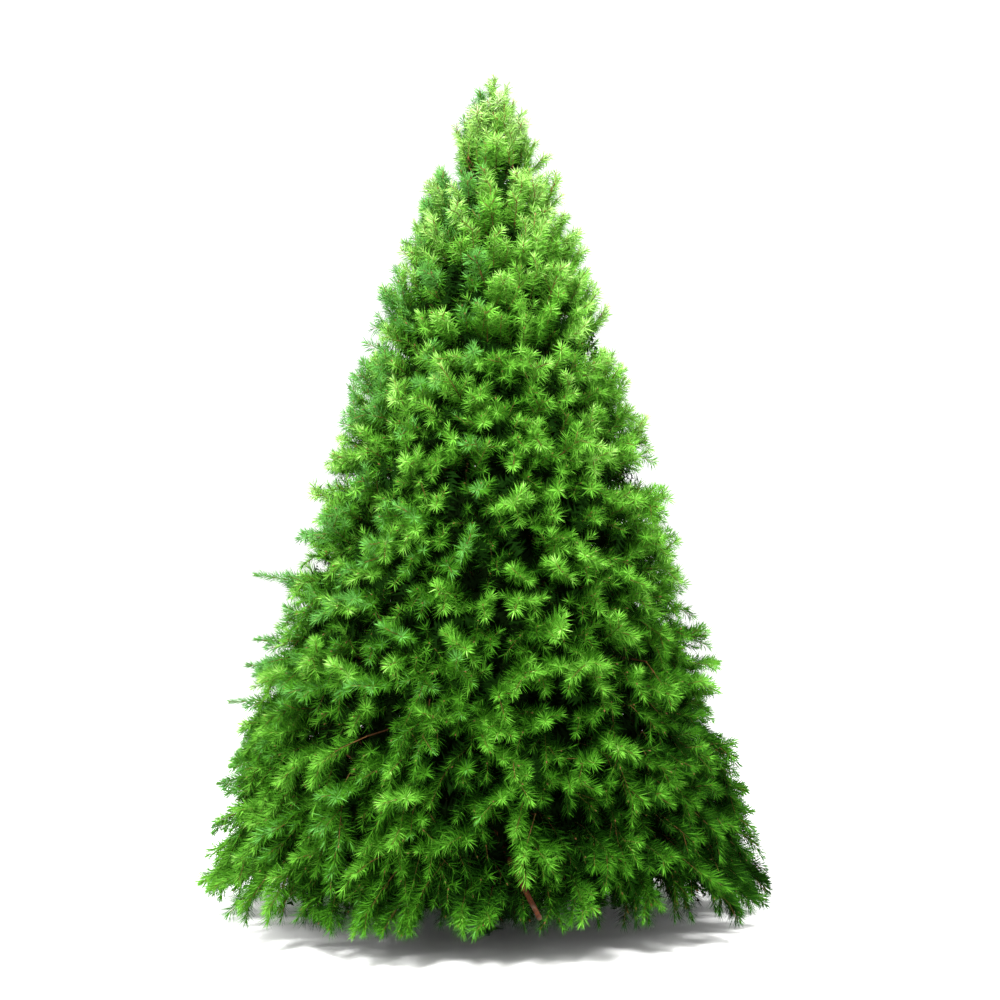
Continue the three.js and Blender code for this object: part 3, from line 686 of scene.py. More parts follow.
def tier_spaces(level, tier):
    """The name and the space of each mass in a tier."""
    lower = tier_face(tier.base)
    upper = tier_face(TIERS[level + 1].base if level + 1 < len(TIERS) else LEADER_BASE)
    for sector in range(tier.sectors):
        start = math.radians(tier.turn + 360 / tier.sectors * sector)
        end = math.radians(tier.turn + 360 / tier.sectors * (sector + 1))
        space = Space(lower, upper, start, end, 0 if level else SKIRT_CLEAR)
        yield f"{tier.name}_{sector + 1}", space


for level, tier in enumerate(TIERS[:BOUGH_TIERS]):
    for name, space in tier_spaces(level, tier):
        grow_bough(name, space, mix(*GIRTH, (level + 1) / len(TIERS)))

# %% The bare end of a side bough, seen low at the front
BARE_START = point(20, -430, 290)
BARE_END = point(127, -668, 122)
BARE_RADII = (9, 5.5)
BARE_RINGS = 54

bare_length = np.linalg.norm(BARE_END - BARE_START)
bare_shares = [i / BARE_RINGS for i in range(BARE_RINGS + 1)]
bare_rings = [(0, share * bare_length, mix(*BARE_RADII, share)) for share in bare_shares]
bare_bough = drawn_rings("bare_bough", bare_rings, BOUGH_SIDES)
give_bark(bare_bough, bough_bark)
laid(bare_bough, BARE_START, BARE_END - BARE_START)
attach(bare_bough, "root")

# %% [markdown]
# ## The stand
# A water bowl with a rolled rim stands on four bent straps. Four screws with T-handles clamp the
# trunk. The bowl and the screws are turned like a potter's work: their outline goes ring by ring.

# %% Water bowl
BOWL_RADII = (94, 112)
BOWL_WALL = 3
BOWL_FLOOR = 5
BOWL_SIDES = 96
CORNER_INSETS = (4, 1)
CORNER_HEIGHTS = (0.6, 3)
RIM_START = 120
RIM_BEAD = 3.8
BEAD_OVERHANG = 0.4
BEAD_ARC = (-110, 180)
BEAD_STEPS = 10
INSIDE_HEIGHTS = (118, 9, 6)
WALL_RIBS = (28, 44)
RIB_HEIGHT = 12
RIB_STEPS = 6
RIB_DEPTH = 1.4
BOSS_OUTLINE = ((0, 10), (9.6, 10), (11, 8.8), (11, 5.6), (8, 5.2))
BOSS_SINK = 2
ROUND_SIDES = 32
SCREW_HEIGHT = 110
SCREW_TURNS = [math.radians(45 + 90 * i) for i in range(4)]
LEG_TURNS = [math.radians(90 * i) for i in range(4)]

# The frame's bowl has 24 flat sides, and what touches it stands on the middle of one
FACET_SHARE = math.cos(math.pi / 24)


def wall_radius(z):
    return mix(*BOWL_RADII, z / BOWL_HEIGHT)


def bowl_outline():
    """Radius and height of each ring, up the outside, over the rim and down the inside."""
    yield wall_radius(0) - CORNER_INSETS[0], 0
    yield wall_radius(0) - CORNER_INSETS[1], CORNER_HEIGHTS[0]
    yield wall_radius(CORNER_HEIGHTS[1]), CORNER_HEIGHTS[1]
    for rib in WALL_RIBS:
        for i in range(RIB_STEPS + 1):
            z = rib - RIB_HEIGHT / 2 + RIB_HEIGHT * i / RIB_STEPS
            yield wall_radius(z) + RIB_DEPTH * math.sin(math.pi * i / RIB_STEPS), z
    yield wall_radius(RIM_START), RIM_START
    middle = wall_radius(BOWL_HEIGHT) + BEAD_OVERHANG, BOWL_HEIGHT - RIM_BEAD
    for i in range(BEAD_STEPS + 1):
        angle = math.radians(mix(*BEAD_ARC, i / BEAD_STEPS))
        yield middle[0] + RIM_BEAD * math.cos(angle), middle[1] + RIM_BEAD * math.sin(angle)
    high, low, lowest = INSIDE_HEIGHTS
    yield wall_radius(high) - BOWL_WALL, high
    yield wall_radius(low) - BOWL_WALL, low
    yield wall_radius(lowest) - 2 * BOWL_WALL, BOWL_FLOOR


def joined_piece(name, pieces, material):
    """Joins pieces of one material into one object."""
    for piece in pieces:
        piece.data.materials.append(material)
    select_only(pieces[0])
    for piece in pieces[1:]:
        piece.select_set(True)
    bpy.ops.object.join()
    bpy.ops.object.shade_smooth_by_angle(angle=SMOOTH_ANGLE)
    whole = bpy.context.active_object
    whole.name = name
    return whole


def level_way(angle):
    return math.cos(angle), math.sin(angle), 0


def boss(angle):
    """The socket in the wall that a clamp screw goes through."""
    socket = drawn_rings("boss", outline_rings(BOSS_OUTLINE), ROUND_SIDES)
    start = wall_radius(SCREW_HEIGHT) * FACET_SHARE - BOSS_SINK
    x, y, _ = level_way(angle)
    return laid(socket, (start * x, start * y, SCREW_HEIGHT), level_way(angle))


bowl = drawn_rings("bowl", [(0, z, radius) for radius, z in bowl_outline()], BOWL_SIDES)
bowl = joined_piece("water_bowl", [bowl] + [boss(angle) for angle in SCREW_TURNS], green_enamel)
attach(bowl, "root")
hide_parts("stand_bowl")

# %% Legs
LEG_REACH = 270
FOOT_LENGTH = 48
LEG_WIDTH = 32
LEG_STRAP = 5
LEG_TAB = (62, 98)
WALL_GAP = 0.3
BEND_RADIUS = 9
BEND_STEPS = 5
STRAP_BEVEL = 0.9
HEAD_BEVEL = 0.4
BEVEL_STEPS = 2
BEVEL_ANGLE = math.radians(50)
BOLT_HEIGHT = 84
WASHER_OUTLINE = ((0, 10.5), (1.08, 10.5), (1.2, 9.45))
HEAD_OUTLINE = ((0, 8), (4.5, 8), (5, 7.2))
HEAD_SIDES = 6


def rounded(path):
    """The path in the x-z plane with each corner turned into a short arc."""
    points = [path[0]]
    for before, corner, after in zip(path, path[1:], path[2:]):
        enter = corner + (before - corner).normalized() * BEND_RADIUS
        leave = corner + (after - corner).normalized() * BEND_RADIUS
        for i in range(BEND_STEPS + 1):
            t = i / BEND_STEPS
            points.append(enter.lerp(corner, t).lerp(corner.lerp(leave, t), t))
    return points + [path[-1]]


def tilt(way):
    """The angle of a direction in the x-z plane away from straight up."""
    way = way.normalized()
    return math.atan2(way.x, way.z)


def drawn_strap(name, points, width, thickness):
    """A strap along a path in the x-z plane, bent a little at each point."""
    bpy.ops.object.select_all(action="DESELECT")
    bpy.ops.mesh.primitive_plane_add(size=1)
    bpy.ops.object.mode_set(mode="EDIT")
    bpy.ops.transform.resize(value=(thickness * METRES, width * METRES, 1))
    heading = tilt(points[1] - points[0])
    bpy.ops.transform.rotate(value=-heading, orient_axis="Y", center_override=(0, 0, 0))
    bpy.ops.transform.translate(value=points[0] * METRES)
    beyond = 2 * points[-1] - points[-2]
    for before, here, after in zip(points, points[1:], points[2:] + [beyond]):
        step = (here - before) * METRES
        bpy.ops.mesh.extrude_region_move(TRANSFORM_OT_translate={"value": step})
        bend = heading - tilt(after - before)
        centre = here * METRES
        bpy.ops.transform.rotate(value=bend, orient_axis="Y", center_override=centre)
        heading = tilt(after - before)
    return finish_edit(name)


def soften(piece, width):
    """Rounds the sharp edges of a piece with a bevel."""
    select_only(piece)
    bevel = piece.modifiers.new("bevel", "BEVEL")
    bevel.width = width * METRES
    bevel.segments = BEVEL_STEPS
    bevel.limit_method = "ANGLE"
    bevel.angle_limit = BEVEL_ANGLE
    bpy.ops.object.modifier_apply(modifier=bevel.name)


def leg_middle(z):
    """How far from the tree's middle a strap on the bowl's wall has its own middle."""
    return wall_radius(z) * FACET_SHARE + WALL_GAP + LEG_STRAP / 2


def leg_and_bolt():
    low, high = LEG_TAB
    path = [
        Vector((leg_middle(high), 0, high)),
        Vector((leg_middle(low), 0, low)),
        Vector((LEG_REACH - FOOT_LENGTH, 0, LEG_STRAP / 2)),
        Vector((LEG_REACH, 0, LEG_STRAP / 2)),
    ]
    leg = drawn_strap("leg", rounded(path), LEG_WIDTH, LEG_STRAP)
    soften(leg, STRAP_BEVEL)
    start = (leg_middle(BOLT_HEIGHT) + LEG_STRAP / 2, 0, BOLT_HEIGHT)
    washer = drawn_rings("washer", outline_rings(WASHER_OUTLINE), ROUND_SIDES)
    head = drawn_rings("head", outline_rings(HEAD_OUTLINE), HEAD_SIDES)
    soften(head, HEAD_BEVEL)
    return leg, [laid(washer, start, level_way(0)), laid(head, start, level_way(0))]


for i, angle in enumerate(LEG_TURNS):
    leg, bolt_pieces = leg_and_bolt()
    leg.data.materials.append(green_enamel)
    bolt = joined_piece("bolt", bolt_pieces, zinc)
    select_only(leg)
    bolt.select_set(True)
    bpy.ops.object.join()
    leg.name = f"stand_strap_{i + 1}"
    leg.rotation_euler = (0, 0, angle)
    bpy.ops.object.transform_apply(location=True, rotation=True, scale=True)
    bpy.ops.object.shade_smooth_by_angle(angle=SMOOTH_ANGLE)
    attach(leg, "root")
    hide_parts(f"stand_leg_{i + 1}")

# %% Clamp screws
SCREW_RADIUS = 4.5
SCREW_REACH = 168
THREAD_PITCH = 1.6
THREAD_DEPTH = 0.6
THREAD_SIDES = 24
PAD_OUTLINE = ((0, 7), (0.6, 9), (3, 9), (4, 7))
PAD_GAP = 0.3
HUB_OUTLINE = ((0, 6.5), (1.5, 8), (12.5, 8), (14, 6.5))
ROD_IN_PAD = 3
ROD_IN_HUB = 2
HANDLE_LENGTH = 56
HANDLE_SIDES = 20
KNOB_RADIUS = 5.4
KNOB_ARC = (4, 140)
KNOB_STEPS = 7

# The frame's trunk has 12 flat sides, and it widens below the screws, where a pad first touches
TRUNK_FACET_SHARE = math.cos(math.pi / 12)
PAD_TOUCHES_BELOW = 12


def thread_outline(start, end):
    """A rod whose radius goes up and down with the thread."""
    turns = round((end - start) / THREAD_PITCH)
    for i in range(2 * turns + 1):
        yield 0, start + i * THREAD_PITCH / 2, SCREW_RADIUS - THREAD_DEPTH * (i % 2)


def handle_outline():
    """A bar along z with a round knob at each end."""
    rings = []
    for end in (-1, 1):
        middle = end * (HANDLE_LENGTH / 2 - KNOB_RADIUS)
        knob = []
        for i in range(KNOB_STEPS + 1):
            angle = math.radians(mix(*KNOB_ARC, i / KNOB_STEPS))
            outwards = middle + end * KNOB_RADIUS * math.cos(angle)
            knob.append((0, outwards, KNOB_RADIUS * math.sin(angle)))
        rings += knob if end < 0 else knob[::-1]
    return rings


def clamp_screw():
    """A screw along z, from its pad on the trunk to its handle."""
    start = trunk_radius(SCREW_HEIGHT - PAD_TOUCHES_BELOW) * TRUNK_FACET_SHARE + PAD_GAP
    hub_length = HUB_OUTLINE[-1][0]
    hub = SCREW_REACH - hub_length
    rod = thread_outline(start + ROD_IN_PAD, hub + ROD_IN_HUB)
    handle = drawn_rings("handle", handle_outline(), HANDLE_SIDES)
    laid(handle, (0, 0, hub + hub_length / 2), (0, 1, 0))
    return [
        drawn_rings("pad", outline_rings(PAD_OUTLINE, start), ROUND_SIDES),
        drawn_rings("rod", rod, THREAD_SIDES),
        drawn_rings("hub", outline_rings(HUB_OUTLINE, hub), ROUND_SIDES),
        handle,
    ]


for i, angle in enumerate(SCREW_TURNS):
    screw = joined_piece(f"clamp_screw_{i + 1}", clamp_screw(), zinc)
    laid(screw, (0, 0, SCREW_HEIGHT), level_way(angle))
    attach(screw, "root")
    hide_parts(f"stand_screw_{i + 1}")
print("pieces of the stand:", 1 + len(LEG_TURNS) + len(SCREW_TURNS))

# %% [markdown]
# ## Sprays of one mass
# On the real tree each branch ends in many flat sprays. A spray is tried near the outline, and
# is kept if it stays in its wedge and apart from its neighbours. The draws come in the same
# order as in the frame, so the sprays fall in the same places.

# %% Where a spray may grow from
LEAST_HALF = 0.1
SURE_START = 0.1
SURE_END = 0.94
ANCHOR_SIDES = (0.18, 0.82)
ANCHOR_OUT = (0.5, 0.66)
ROOT_STEPS = 24


def core_halves(space, out):
    """Half the width and height of the dense inside, as shares of the space."""
    return [max(LEAST_HALF, 0.5 - CORE_MARGIN / measure) for measure in space.size(out)]


def in_core(space, place):
    """Whether a place is surely in the dense inside of the mass."""
    at = space.shares(place)
    if at.out < CORE_INNER + SURE_START or at.out > CORE_OUTER * SURE_END:
        return False
    half_across, half_up = core_halves(space, at.out)
    narrow = clamp((at.out - CORE_INNER) / (CORE_WIDE - CORE_INNER), 0, 1)
    sure = narrow * (1 - CORE_ROUGHNESS)
    inside = abs(at.across - 0.5) < half_across * sure
    return inside and abs(at.up - 0.5) < half_up * sure


def core_anchor(space, place):
    at = space.shares(place)
    across, up = clamp(at.across, *ANCHOR_SIDES), clamp(at.up, *ANCHOR_SIDES)
    return space.place(across, up, clamp(at.out, *ANCHOR_OUT))


def root_on_core(space, anchor, tip):
    leaves_at = 0
    for i in range(ROOT_STEPS + 1):
        if in_core(space, mix(anchor, tip, i / ROOT_STEPS)):
            leaves_at = i / ROOT_STEPS
    sink = SPRAY_SINK / np.linalg.norm(tip - anchor)
    return mix(anchor, tip, clamp(leaves_at - sink, 0, 1))


# %% Frame and outline of a spray
Spray = namedtuple("Spray", "root tip roll")
FACE_OUTWARDS = 0.35


def turned_about(vector, axis, angle):
    crossed = np.cross(axis, vector)
    return vector * math.cos(angle) + crossed * math.sin(angle)


def spray_frame(spray):
    """The directions along a spray, out of its face and to its side, and its length."""
    along = spray.tip - spray.root
    length = np.linalg.norm(along)
    along = along / length
    outward = unit(from_trunk(spray.tip))
    growth = growth_angle(spray.tip[2])
    face = point(0, 0, math.cos(growth)) + outward * (math.sin(growth) + FACE_OUTWARDS)
    face = unit(face - along * face.dot(along))
    face = turned_about(face, along, spray.roll)
    return along, face, np.cross(along, face), length


def spray_points(spray):
    along, face, side, length = spray_frame(spray)
    shape = [
        (0, 0, -SPRAY_DROOP_SHARE),
        (SPRAY_TOOTH, SPRAY_WIDTH_SHARE, 0),
        (SPRAY_NOTCH, SPRAY_WIDTH_SHARE * SPRAY_NOTCH_WIDTH, 0),
        (1, 0, -SPRAY_DROOP_SHARE),
        (SPRAY_NOTCH, -SPRAY_WIDTH_SHARE * SPRAY_NOTCH_WIDTH, 0),
        (SPRAY_TOOTH, -SPRAY_WIDTH_SHARE, 0),
        (SPRAY_RIDGE, 0, SPRAY_RIDGE_SHARE),
    ]
    return [spray.root + length * (a * along + s * side + f * face) for a, s, f in shape]


def fits_space(space, spray, least_length):
    if np.linalg.norm(spray.tip - spray.root) <= least_length:
        return False
    return all(space.clearance(p) > SPACE_MARGIN for p in spray_points(spray))


def stands_apart(spray, others):
    probes = [mix(spray.root, spray.tip, share) for share in SPRAY_PROBES]
    least = SPRAY_APART * np.linalg.norm(spray.tip - spray.root)
    for other in others:
        for share in SPRAY_PROBES:
            place = mix(other.root, other.tip, share)
            if any(np.linalg.norm(probe - place) <= least for probe in probes):
                return False
    return True


# %% Grow the sprays of a mass
LENGTH_VARIES = (0.86, 1.14)
ROLL_CALMED = 0.6
BODY_SHARE = 0.8
TIP_SHIFT = 0.3
SHORTEST_SHARE = 0.4
ROW_SHIFT = 0.2
STRAY_ROLLS = (0, 30, -30, 60, -60, 90)


def grow_spray(space, across, up, others, draw):
    """Tries again, calmer each time, until a spray fits; the last try is a straight one."""
    share = height_share(space.place(across, up, 1)[2])
    wide, tall = space.size(1)
    hang = space.hang if up < 0.5 else 0
    for attempt in range(SPRAY_TRIES):
        strict = attempt / (SPRAY_TRIES - 1)
        length = mix(*SPRAY_LENGTH, share) * between(LENGTH_VARIES, draw)
        roll = math.radians(either_way(SPRAY_ROLL, draw)) * (1 - ROLL_CALMED * strict)
        half_width = BODY_SHARE * length * SPRAY_WIDTH_SHARE
        side_share = (half_width * math.cos(roll) + SPACE_MARGIN) / wide
        face_share = (half_width * abs(math.sin(roll)) + 3 * SPACE_MARGIN) / tall
        tip_across = across + either_way(TIP_SHIFT * length, draw) / wide
        tip_up = up + either_way(TIP_SHIFT * length, draw) / tall
        tip = space.place(
            clamp(tip_across, side_share, 1 - side_share),
            clamp(tip_up, face_share, 1 - face_share) - hang,
            between(SPRAY_REACH, draw),
        )
        turn = math.radians(either_way(SPRAY_TURN, draw)) * (1 - strict)
        lift = math.radians(either_way(SPRAY_LIFT, draw)) * (1 - strict)
        begin = tip - growth_direction(tip, turn, lift) * length
        root = root_on_core(space, core_anchor(space, begin), tip)
        spray = Spray(root, tip, roll)
        if fits_space(space, spray, SHORTEST_SHARE * length) and stands_apart(spray, others):
            return spray
    return None


def grow_stray(space, tip):
    """A spray that ends at a given tip, in the roll that fits, or None."""
    if space.clearance(tip) < SPACE_MARGIN:
        return None
    length = mix(*STRAY_LENGTH, tip[2] / TREE_HEIGHT)
    anchor = core_anchor(space, tip - growth_direction(tip, 0, 0) * length)
    span = np.linalg.norm(tip - anchor)
    root = mix(anchor, tip, clamp(1 - length / span, 0, 1))
    for roll in STRAY_ROLLS:
        spray = Spray(root, tip, math.radians(roll))
        if fits_space(space, spray, 0):
            return spray
    return None


def grow_sprays(space, columns, rows, draw):
    sprays = []
    for row in range(rows):
        for column in range(columns):
            across = (column + 0.5 + (ROW_SHIFT if row % 2 else -ROW_SHIFT)) / columns
            spray = grow_spray(space, across, (row + 0.5) / rows, sprays, draw)
            if spray:
                sprays.append(spray)
    for turn, height, radius in STRAYS:
        stray = grow_stray(space, round_axis(math.radians(turn), radius, height))
        if stray:
            sprays.append(stray)
    return sprays


# %% [markdown]
# ## Blunt shoots between the sprays
# Between the sprays the frame has blunt shoots, one from each cell of a grid on the dense inside
# of the mass. We find where each of them starts and ends, and grow a shorter branchlet there.

# %% Grow the blunt shoots of a mass
SHOOT_VARIES = (0.7, 1.1)
SHORTEST_SHOOT = 10
SHORTENING = 0.8
GRID_JITTER = 0.3
CORE_VARIES = (0.94, 1.04)


def drawn_out(cell, length, fits, draw):
    """A blunt shoot from the middle of a cell, as long as it fits."""
    middle = sum(cell) / len(cell)
    turn = math.radians(either_way(SHOOT_TURN, draw))
    lift = math.radians(either_way(SHOOT_LIFT, draw))
    direction = growth_direction(middle, turn, lift)
    reach = length * between(SHOOT_VARIES, draw)
    while reach > SHORTEST_SHOOT and not fits(middle + direction * reach):
        reach *= SHORTENING
    return Spray(middle, middle + direction * reach, 0)


def core_shoots(space, columns, rows, draw):
    half_across, half_up = core_halves(space, CORE_OUTER)

    def grid_point(column, row):
        column += either_way(GRID_JITTER, draw) if 0 < column < columns else 0
        row += either_way(GRID_JITTER, draw) if 0 < row < rows else 0
        rough = 1 - CORE_ROUGHNESS * draw()
        across = 0.5 + half_across * (2 * column / columns - 1) * rough
        up = 0.5 + half_up * (2 * row / rows - 1) * rough
        return space.place(across, up, CORE_OUTER * between(CORE_VARIES, draw))

    grid = [[grid_point(c, r) for c in range(columns + 1)] for r in range(rows + 1)]

    # The frame shapes an inner ring of the mass too, which takes this many draws
    for _ in range(6 * (columns + rows) - 4):
        draw()

    length = mix(*SHOOT_LENGTH, space.place(0.5, 0.5, 1)[2] / TREE_HEIGHT)

    def fits(tip):
        free = space.clearance(tip) > SPACE_MARGIN
        return free and space.shares(tip).out < SHOOT_OUTERMOST

    shoots = []
    for row in range(rows):
        for column in range(columns):
            low, high = grid[row], grid[row + 1]
            cell = [low[column], low[column + 1], high[column + 1], high[column]]
            shoots.append(drawn_out(cell, length, fits, draw))
    return shoots


# %% [markdown]
# ## Sprays round the leader
# The leader is the trunk's last shoot. Steep sprays stand all round it in a spiral, and the
# last one is the top of the tree.

# %% Grow the leader's sprays and blunt shoots
RING_VARIES = (0.93, 1.07)
RING_JITTER = 6
LEADER_TURN = 12
LEADER_ROLL = 30
LOWEST_LEADER_TIP = LEADER_BASE + 26
TIP_SPACING_POWER = 0.9
TIP_DROP = 16
LEADER_REACH = (0.94, 1.08)
LOW_REACH = 6


def above_neck(place):
    """Whether a place is clear of the masses below the leader."""
    lower = tier_face(LEADER_BASE)(axis_distance(place), axis_angle(place))
    return place[2] - lower > 2 * SPACE_MARGIN


def leader_ring(level, height, share, draw):
    ring = []
    for i in range(LEADER_SIDES):
        angle = 2 * math.pi * (i + 0.5 * (level % 2)) / LEADER_SIDES
        radius = share * outline_radius(height) * between(RING_VARIES, draw)
        place = round_axis(angle, radius, height)
        place[2] += either_way(RING_JITTER, draw)
        ring.append(place)
    return ring


def leader_shoots(draw):
    rings = [leader_ring(i, *ring, draw) for i, ring in enumerate(LEADER_RINGS)]

    def fits(tip):
        return above_neck(tip) and axis_distance(tip) < outline_radius(tip[2])

    shoots = []
    for level in range(len(rings) - 1):
        low, high = rings[level], rings[level + 1]
        for i in range(LEADER_SIDES):
            after = (i + 1) % LEADER_SIDES
            left, right = (after, (i + 2) % LEADER_SIDES) if level % 2 else (i, after)
            cell = [low[i], low[after], high[right], high[left]]
            shoots.append(drawn_out(cell, SHOOT_LENGTH[1], fits, draw))
    return shoots


def leader_sprays(draw):
    sprays = []
    for i in range(LEADER_SPRAYS):
        share = i / (LEADER_SPRAYS - 1)
        angle = i * GOLDEN_ANGLE + math.radians(either_way(LEADER_TURN, draw))
        tip_height = mix(LOWEST_LEADER_TIP, TREE_HEIGHT, share**TIP_SPACING_POWER)
        tip_height -= TIP_DROP * draw() * (1 - share)
        root_height = tip_height - mix(*LEADER_SPRAY_RISE, share)
        reach = outline_radius(tip_height) * between(LEADER_REACH, draw)
        reach += LOW_REACH * (1 - share)
        spray = Spray(
            point(axis_x(root_height), 0, root_height),
            round_axis(angle, reach, tip_height),
            math.radians(either_way(LEADER_ROLL, draw)),
        )
        if all(above_neck(p) for p in spray_points(spray)):
            sprays.append(spray)
    return sprays


# %% [markdown]
# ## From sprays to needle shoots
# A fir's spray is a main twig with side twigs in pairs, and every twig of this year carries
# needles. Each spray of the frame becomes such a fan of needle shoots, which stays within the
# frame's reach. A shoot is kept as a short curve with its thickness, the share of it that is
# bare, its age and its colour, and the meshes are made from these at the end.

# %% The needle shoot
Twig = namedtuple("Twig", "radius bare stations")
MAIN_TWIG = Twig(radius=1.6, bare=0.12, stations=(0, 0.5, 1.0))
SIDE_TWIG = Twig(radius=1.1, bare=0.02, stations=(0, 1.0))
Shoot = namedtuple("Shoot", "root bend tip face twig needle tint")
NEEDLE_LENGTH = (37, 28)
NEEDLE_VARIES = (0.88, 1.1)
SHOOT_ARCH = (0.13, -0.2)
LOWEST_TIP = 60
LOWEST_SIDE_TIPS = (54, 88)
ROOT_DEPTHS = (85, 50)
MOST_HELD_IN = 0.8
CROSSING = 14
OUTERMOST_SHARE = 1.025
LEADER_OUTERMOST = (1.05, 8)
SHOOT_SAG = 0.07
SIDE_TWIG_SHARES = (1, 0.8, 0.62, 0.46)
NEARLY_PARALLEL = 1e-6


def face_on(direction, hint):
    """The direction at right angles to the first that lies nearest to the hint."""
    face = hint - direction * hint.dot(direction)
    if np.linalg.norm(face) <= NEARLY_PARALLEL:
        face = np.cross(direction, (1, 0, 0))
    return unit(face)


def make_shoot(root, tip, hint, draw, twig, tint):
    """A shoot that sags a little to one side, and arches up low down and down near the top."""
    direction = unit(tip - root)
    length = np.linalg.norm(tip - root)
    face = face_on(direction, hint)
    side = np.cross(direction, face)
    sag = length * (either_way(SHOOT_SAG, draw) * face + either_way(SHOOT_SAG, draw) * side)
    share = height_share(tip[2])
    needle = mix(*NEEDLE_LENGTH, share) * between(NEEDLE_VARIES, draw)
    bend = (root + tip) / 2 + sag + point(0, 0, mix(*SHOOT_ARCH, share) * length)
    return Shoot(root, bend, tip, face, twig, needle, tint)


def lowest_side_tip(place):
    """The shears cut the skirt a little higher at the front and the back than at the sides."""
    side_on = place[1] / math.hypot(place[0], place[1])
    return mix(*LOWEST_SIDE_TIPS, side_on**4)


def held_in(place):
    """The place, moved towards the trunk until it lies deep enough inside the outline."""
    depth = mix(*ROOT_DEPTHS, height_share(place[2]) ** 3)
    lack = depth - inwards(place[None])[0]
    out = from_trunk(place)
    return place - out * clamp(lack / np.linalg.norm(out), 0, MOST_HELD_IN)


def inside(space, tip):
    """Whether a tip stays in its space, or near enough. The leader has no space of its own."""
    if space is None:
        share, beyond = LEADER_OUTERMOST
        outermost = share * outline_radius(tip[2]) + beyond
        return above_neck(tip) and axis_distance(tip) < outermost
    if tip[2] < lowest_side_tip(tip):
        return False
    return space.clearance(tip) > -CROSSING and space.shares(tip).out < OUTERMOST_SHARE


def shortened(space, root, tip):
    """A side twig as long as stays in its space, or None if it would be a stump."""
    for share in SIDE_TWIG_SHARES:
        end = mix(root, tip, share)
        if inside(space, end):
            return end
    return None


# %% A fan of shoots on one spray
TIP_ALLOWANCE = (12, 0.2)
MOST_HELD_BACK = 0.6
SIDE_ANGLE = 46
SIDE_ANGLE_DROP = 20
SIDE_ANGLE_VARIES = (-10, 8)
SIDE_TILT = (-0.35, 0.6)
SIDE_VARIES = (0.8, 1.2)
SIDE_DROOP = (0.3, -0.2)
ROUND_JITTER = 0.4
FLAT_ABOVE = 1400
FAN_SHARES = (0.30, 0.43, 0.56, 0.68, 0.79, 0.88)
FAN_LENGTH = 0.43
SHORT_FAN_SHARES = FAN_SHARES[::2]
SHORT_FAN_LENGTH = 0.55
FAN_NARROWING = 0.5
TOP_NARROWING = 0.4


def side_angle(z):
    """Side shoots stand wide at half height, and lie close to their spray at floor and top."""
    return SIDE_ANGLE - SIDE_ANGLE_DROP * abs(2 * height_share(z) - 1) ** 1.5


def fan(space, spray, shares, reach, draw, tint, round_about=False):
    """The main shoot of a spray with a side shoot at each share of its length."""
    along, face, side, length = spray_frame(spray)
    up = spray.tip[2] / TREE_HEIGHT
    held_back = min(TIP_ALLOWANCE[0], TIP_ALLOWANCE[1] * length)
    if along[2] < 0:
        held_back = max(held_back, (LOWEST_TIP - spray.tip[2]) / -along[2])
    main_tip = spray.tip - along * min(held_back, MOST_HELD_BACK * length)
    shoots = [make_shoot(spray.root, main_tip, face, draw, MAIN_TWIG, tint)]
    for i, share in enumerate(shares):
        flip = 1 if i % 2 else -1
        spread = math.radians(side_angle(spray.tip[2]) + between(SIDE_ANGLE_VARIES, draw))
        sideways = side * flip + face * between(SIDE_TILT, draw)
        if round_about and spray.tip[2] < FLAT_ABOVE:
            angle = i * GOLDEN_ANGLE + either_way(ROUND_JITTER, draw)
            sideways = side * math.cos(angle) + face * math.sin(angle)
        direction = along * math.cos(spread) + unit(sideways) * math.sin(spread)
        direction = unit(direction - point(0, 0, mix(*SIDE_DROOP, up)))
        own = reach * length * (1 - FAN_NARROWING * share) * between(SIDE_VARIES, draw)
        own *= 1 - TOP_NARROWING * up**3
        root = spray.root + along * share * length
        tip = shortened(space, root, root + direction * own)
        if tip is not None:
            shoots.append(make_shoot(root, tip, face, draw, SIDE_TWIG, tint))
    return shoots


# %% Fill shoots between the frame's own
CLUMP_DEPTH = 50
CLUMP_SIZE = 33
CLUMP_BENDS = (0.7, 0.6)
CLUMP_FLATNESS = 1.1
CLUMP_SOFTNESS = 1.8
FILL_OUT = 0.9
FILL_SPACING = 72
SKIRT_FILL_SPACING = 58
TOP_FILL_SPACING = 48
FILL_PLACE = (0.15, 0.85)
FILL_RECESS = 47
RECESS_VARIES = (0.5, 1.4)
LEAST_RECESS = -14
FILL_LENGTH = (170, 130)
FILL_VARIES = (0.8, 1.15)
FILL_TURN = math.radians(48)
FILL_LIFTS = ((-44, 18), (8, 48))
FILL_ROLL = 70
TOP_CALM = 0.62


def clump(place):
    """Shoots gather in clumps the size of a hand: 1 in the middle of one, -1 between them."""
    x, y, z = place / CLUMP_SIZE
    bend_x, bend_y = math.sin(CLUMP_BENDS[0] * z), math.sin(CLUMP_BENDS[1] * x)
    waves = math.sin(x + bend_x), math.sin(y + bend_y), math.sin(CLUMP_FLATNESS * z)
    return clamp(sum(waves) / CLUMP_SOFTNESS, -1, 1)


def calm(z):
    """Shoots vary less in direction towards the top."""
    return 1 - TOP_CALM * z / TREE_HEIGHT


def fill_lift(z, draw):
    """Fill shoots droop a little low down, and stand up more and more towards the top."""
    lowest, highest = (mix(*ends, (z / TREE_HEIGHT) ** 3) for ends in FILL_LIFTS)
    return math.radians(mix(lowest, highest, draw()))


def fill_roll(z, draw):
    return math.radians(either_way(FILL_ROLL, draw)) * calm(z)


def grown_back(tip, turn, lift, length, draw):
    """A spray that ends at a tip, with its root held inside the outline."""
    root = held_in(tip - growth_direction(tip, turn, lift) * length)
    return Spray(root, tip, fill_roll(tip[2], draw))


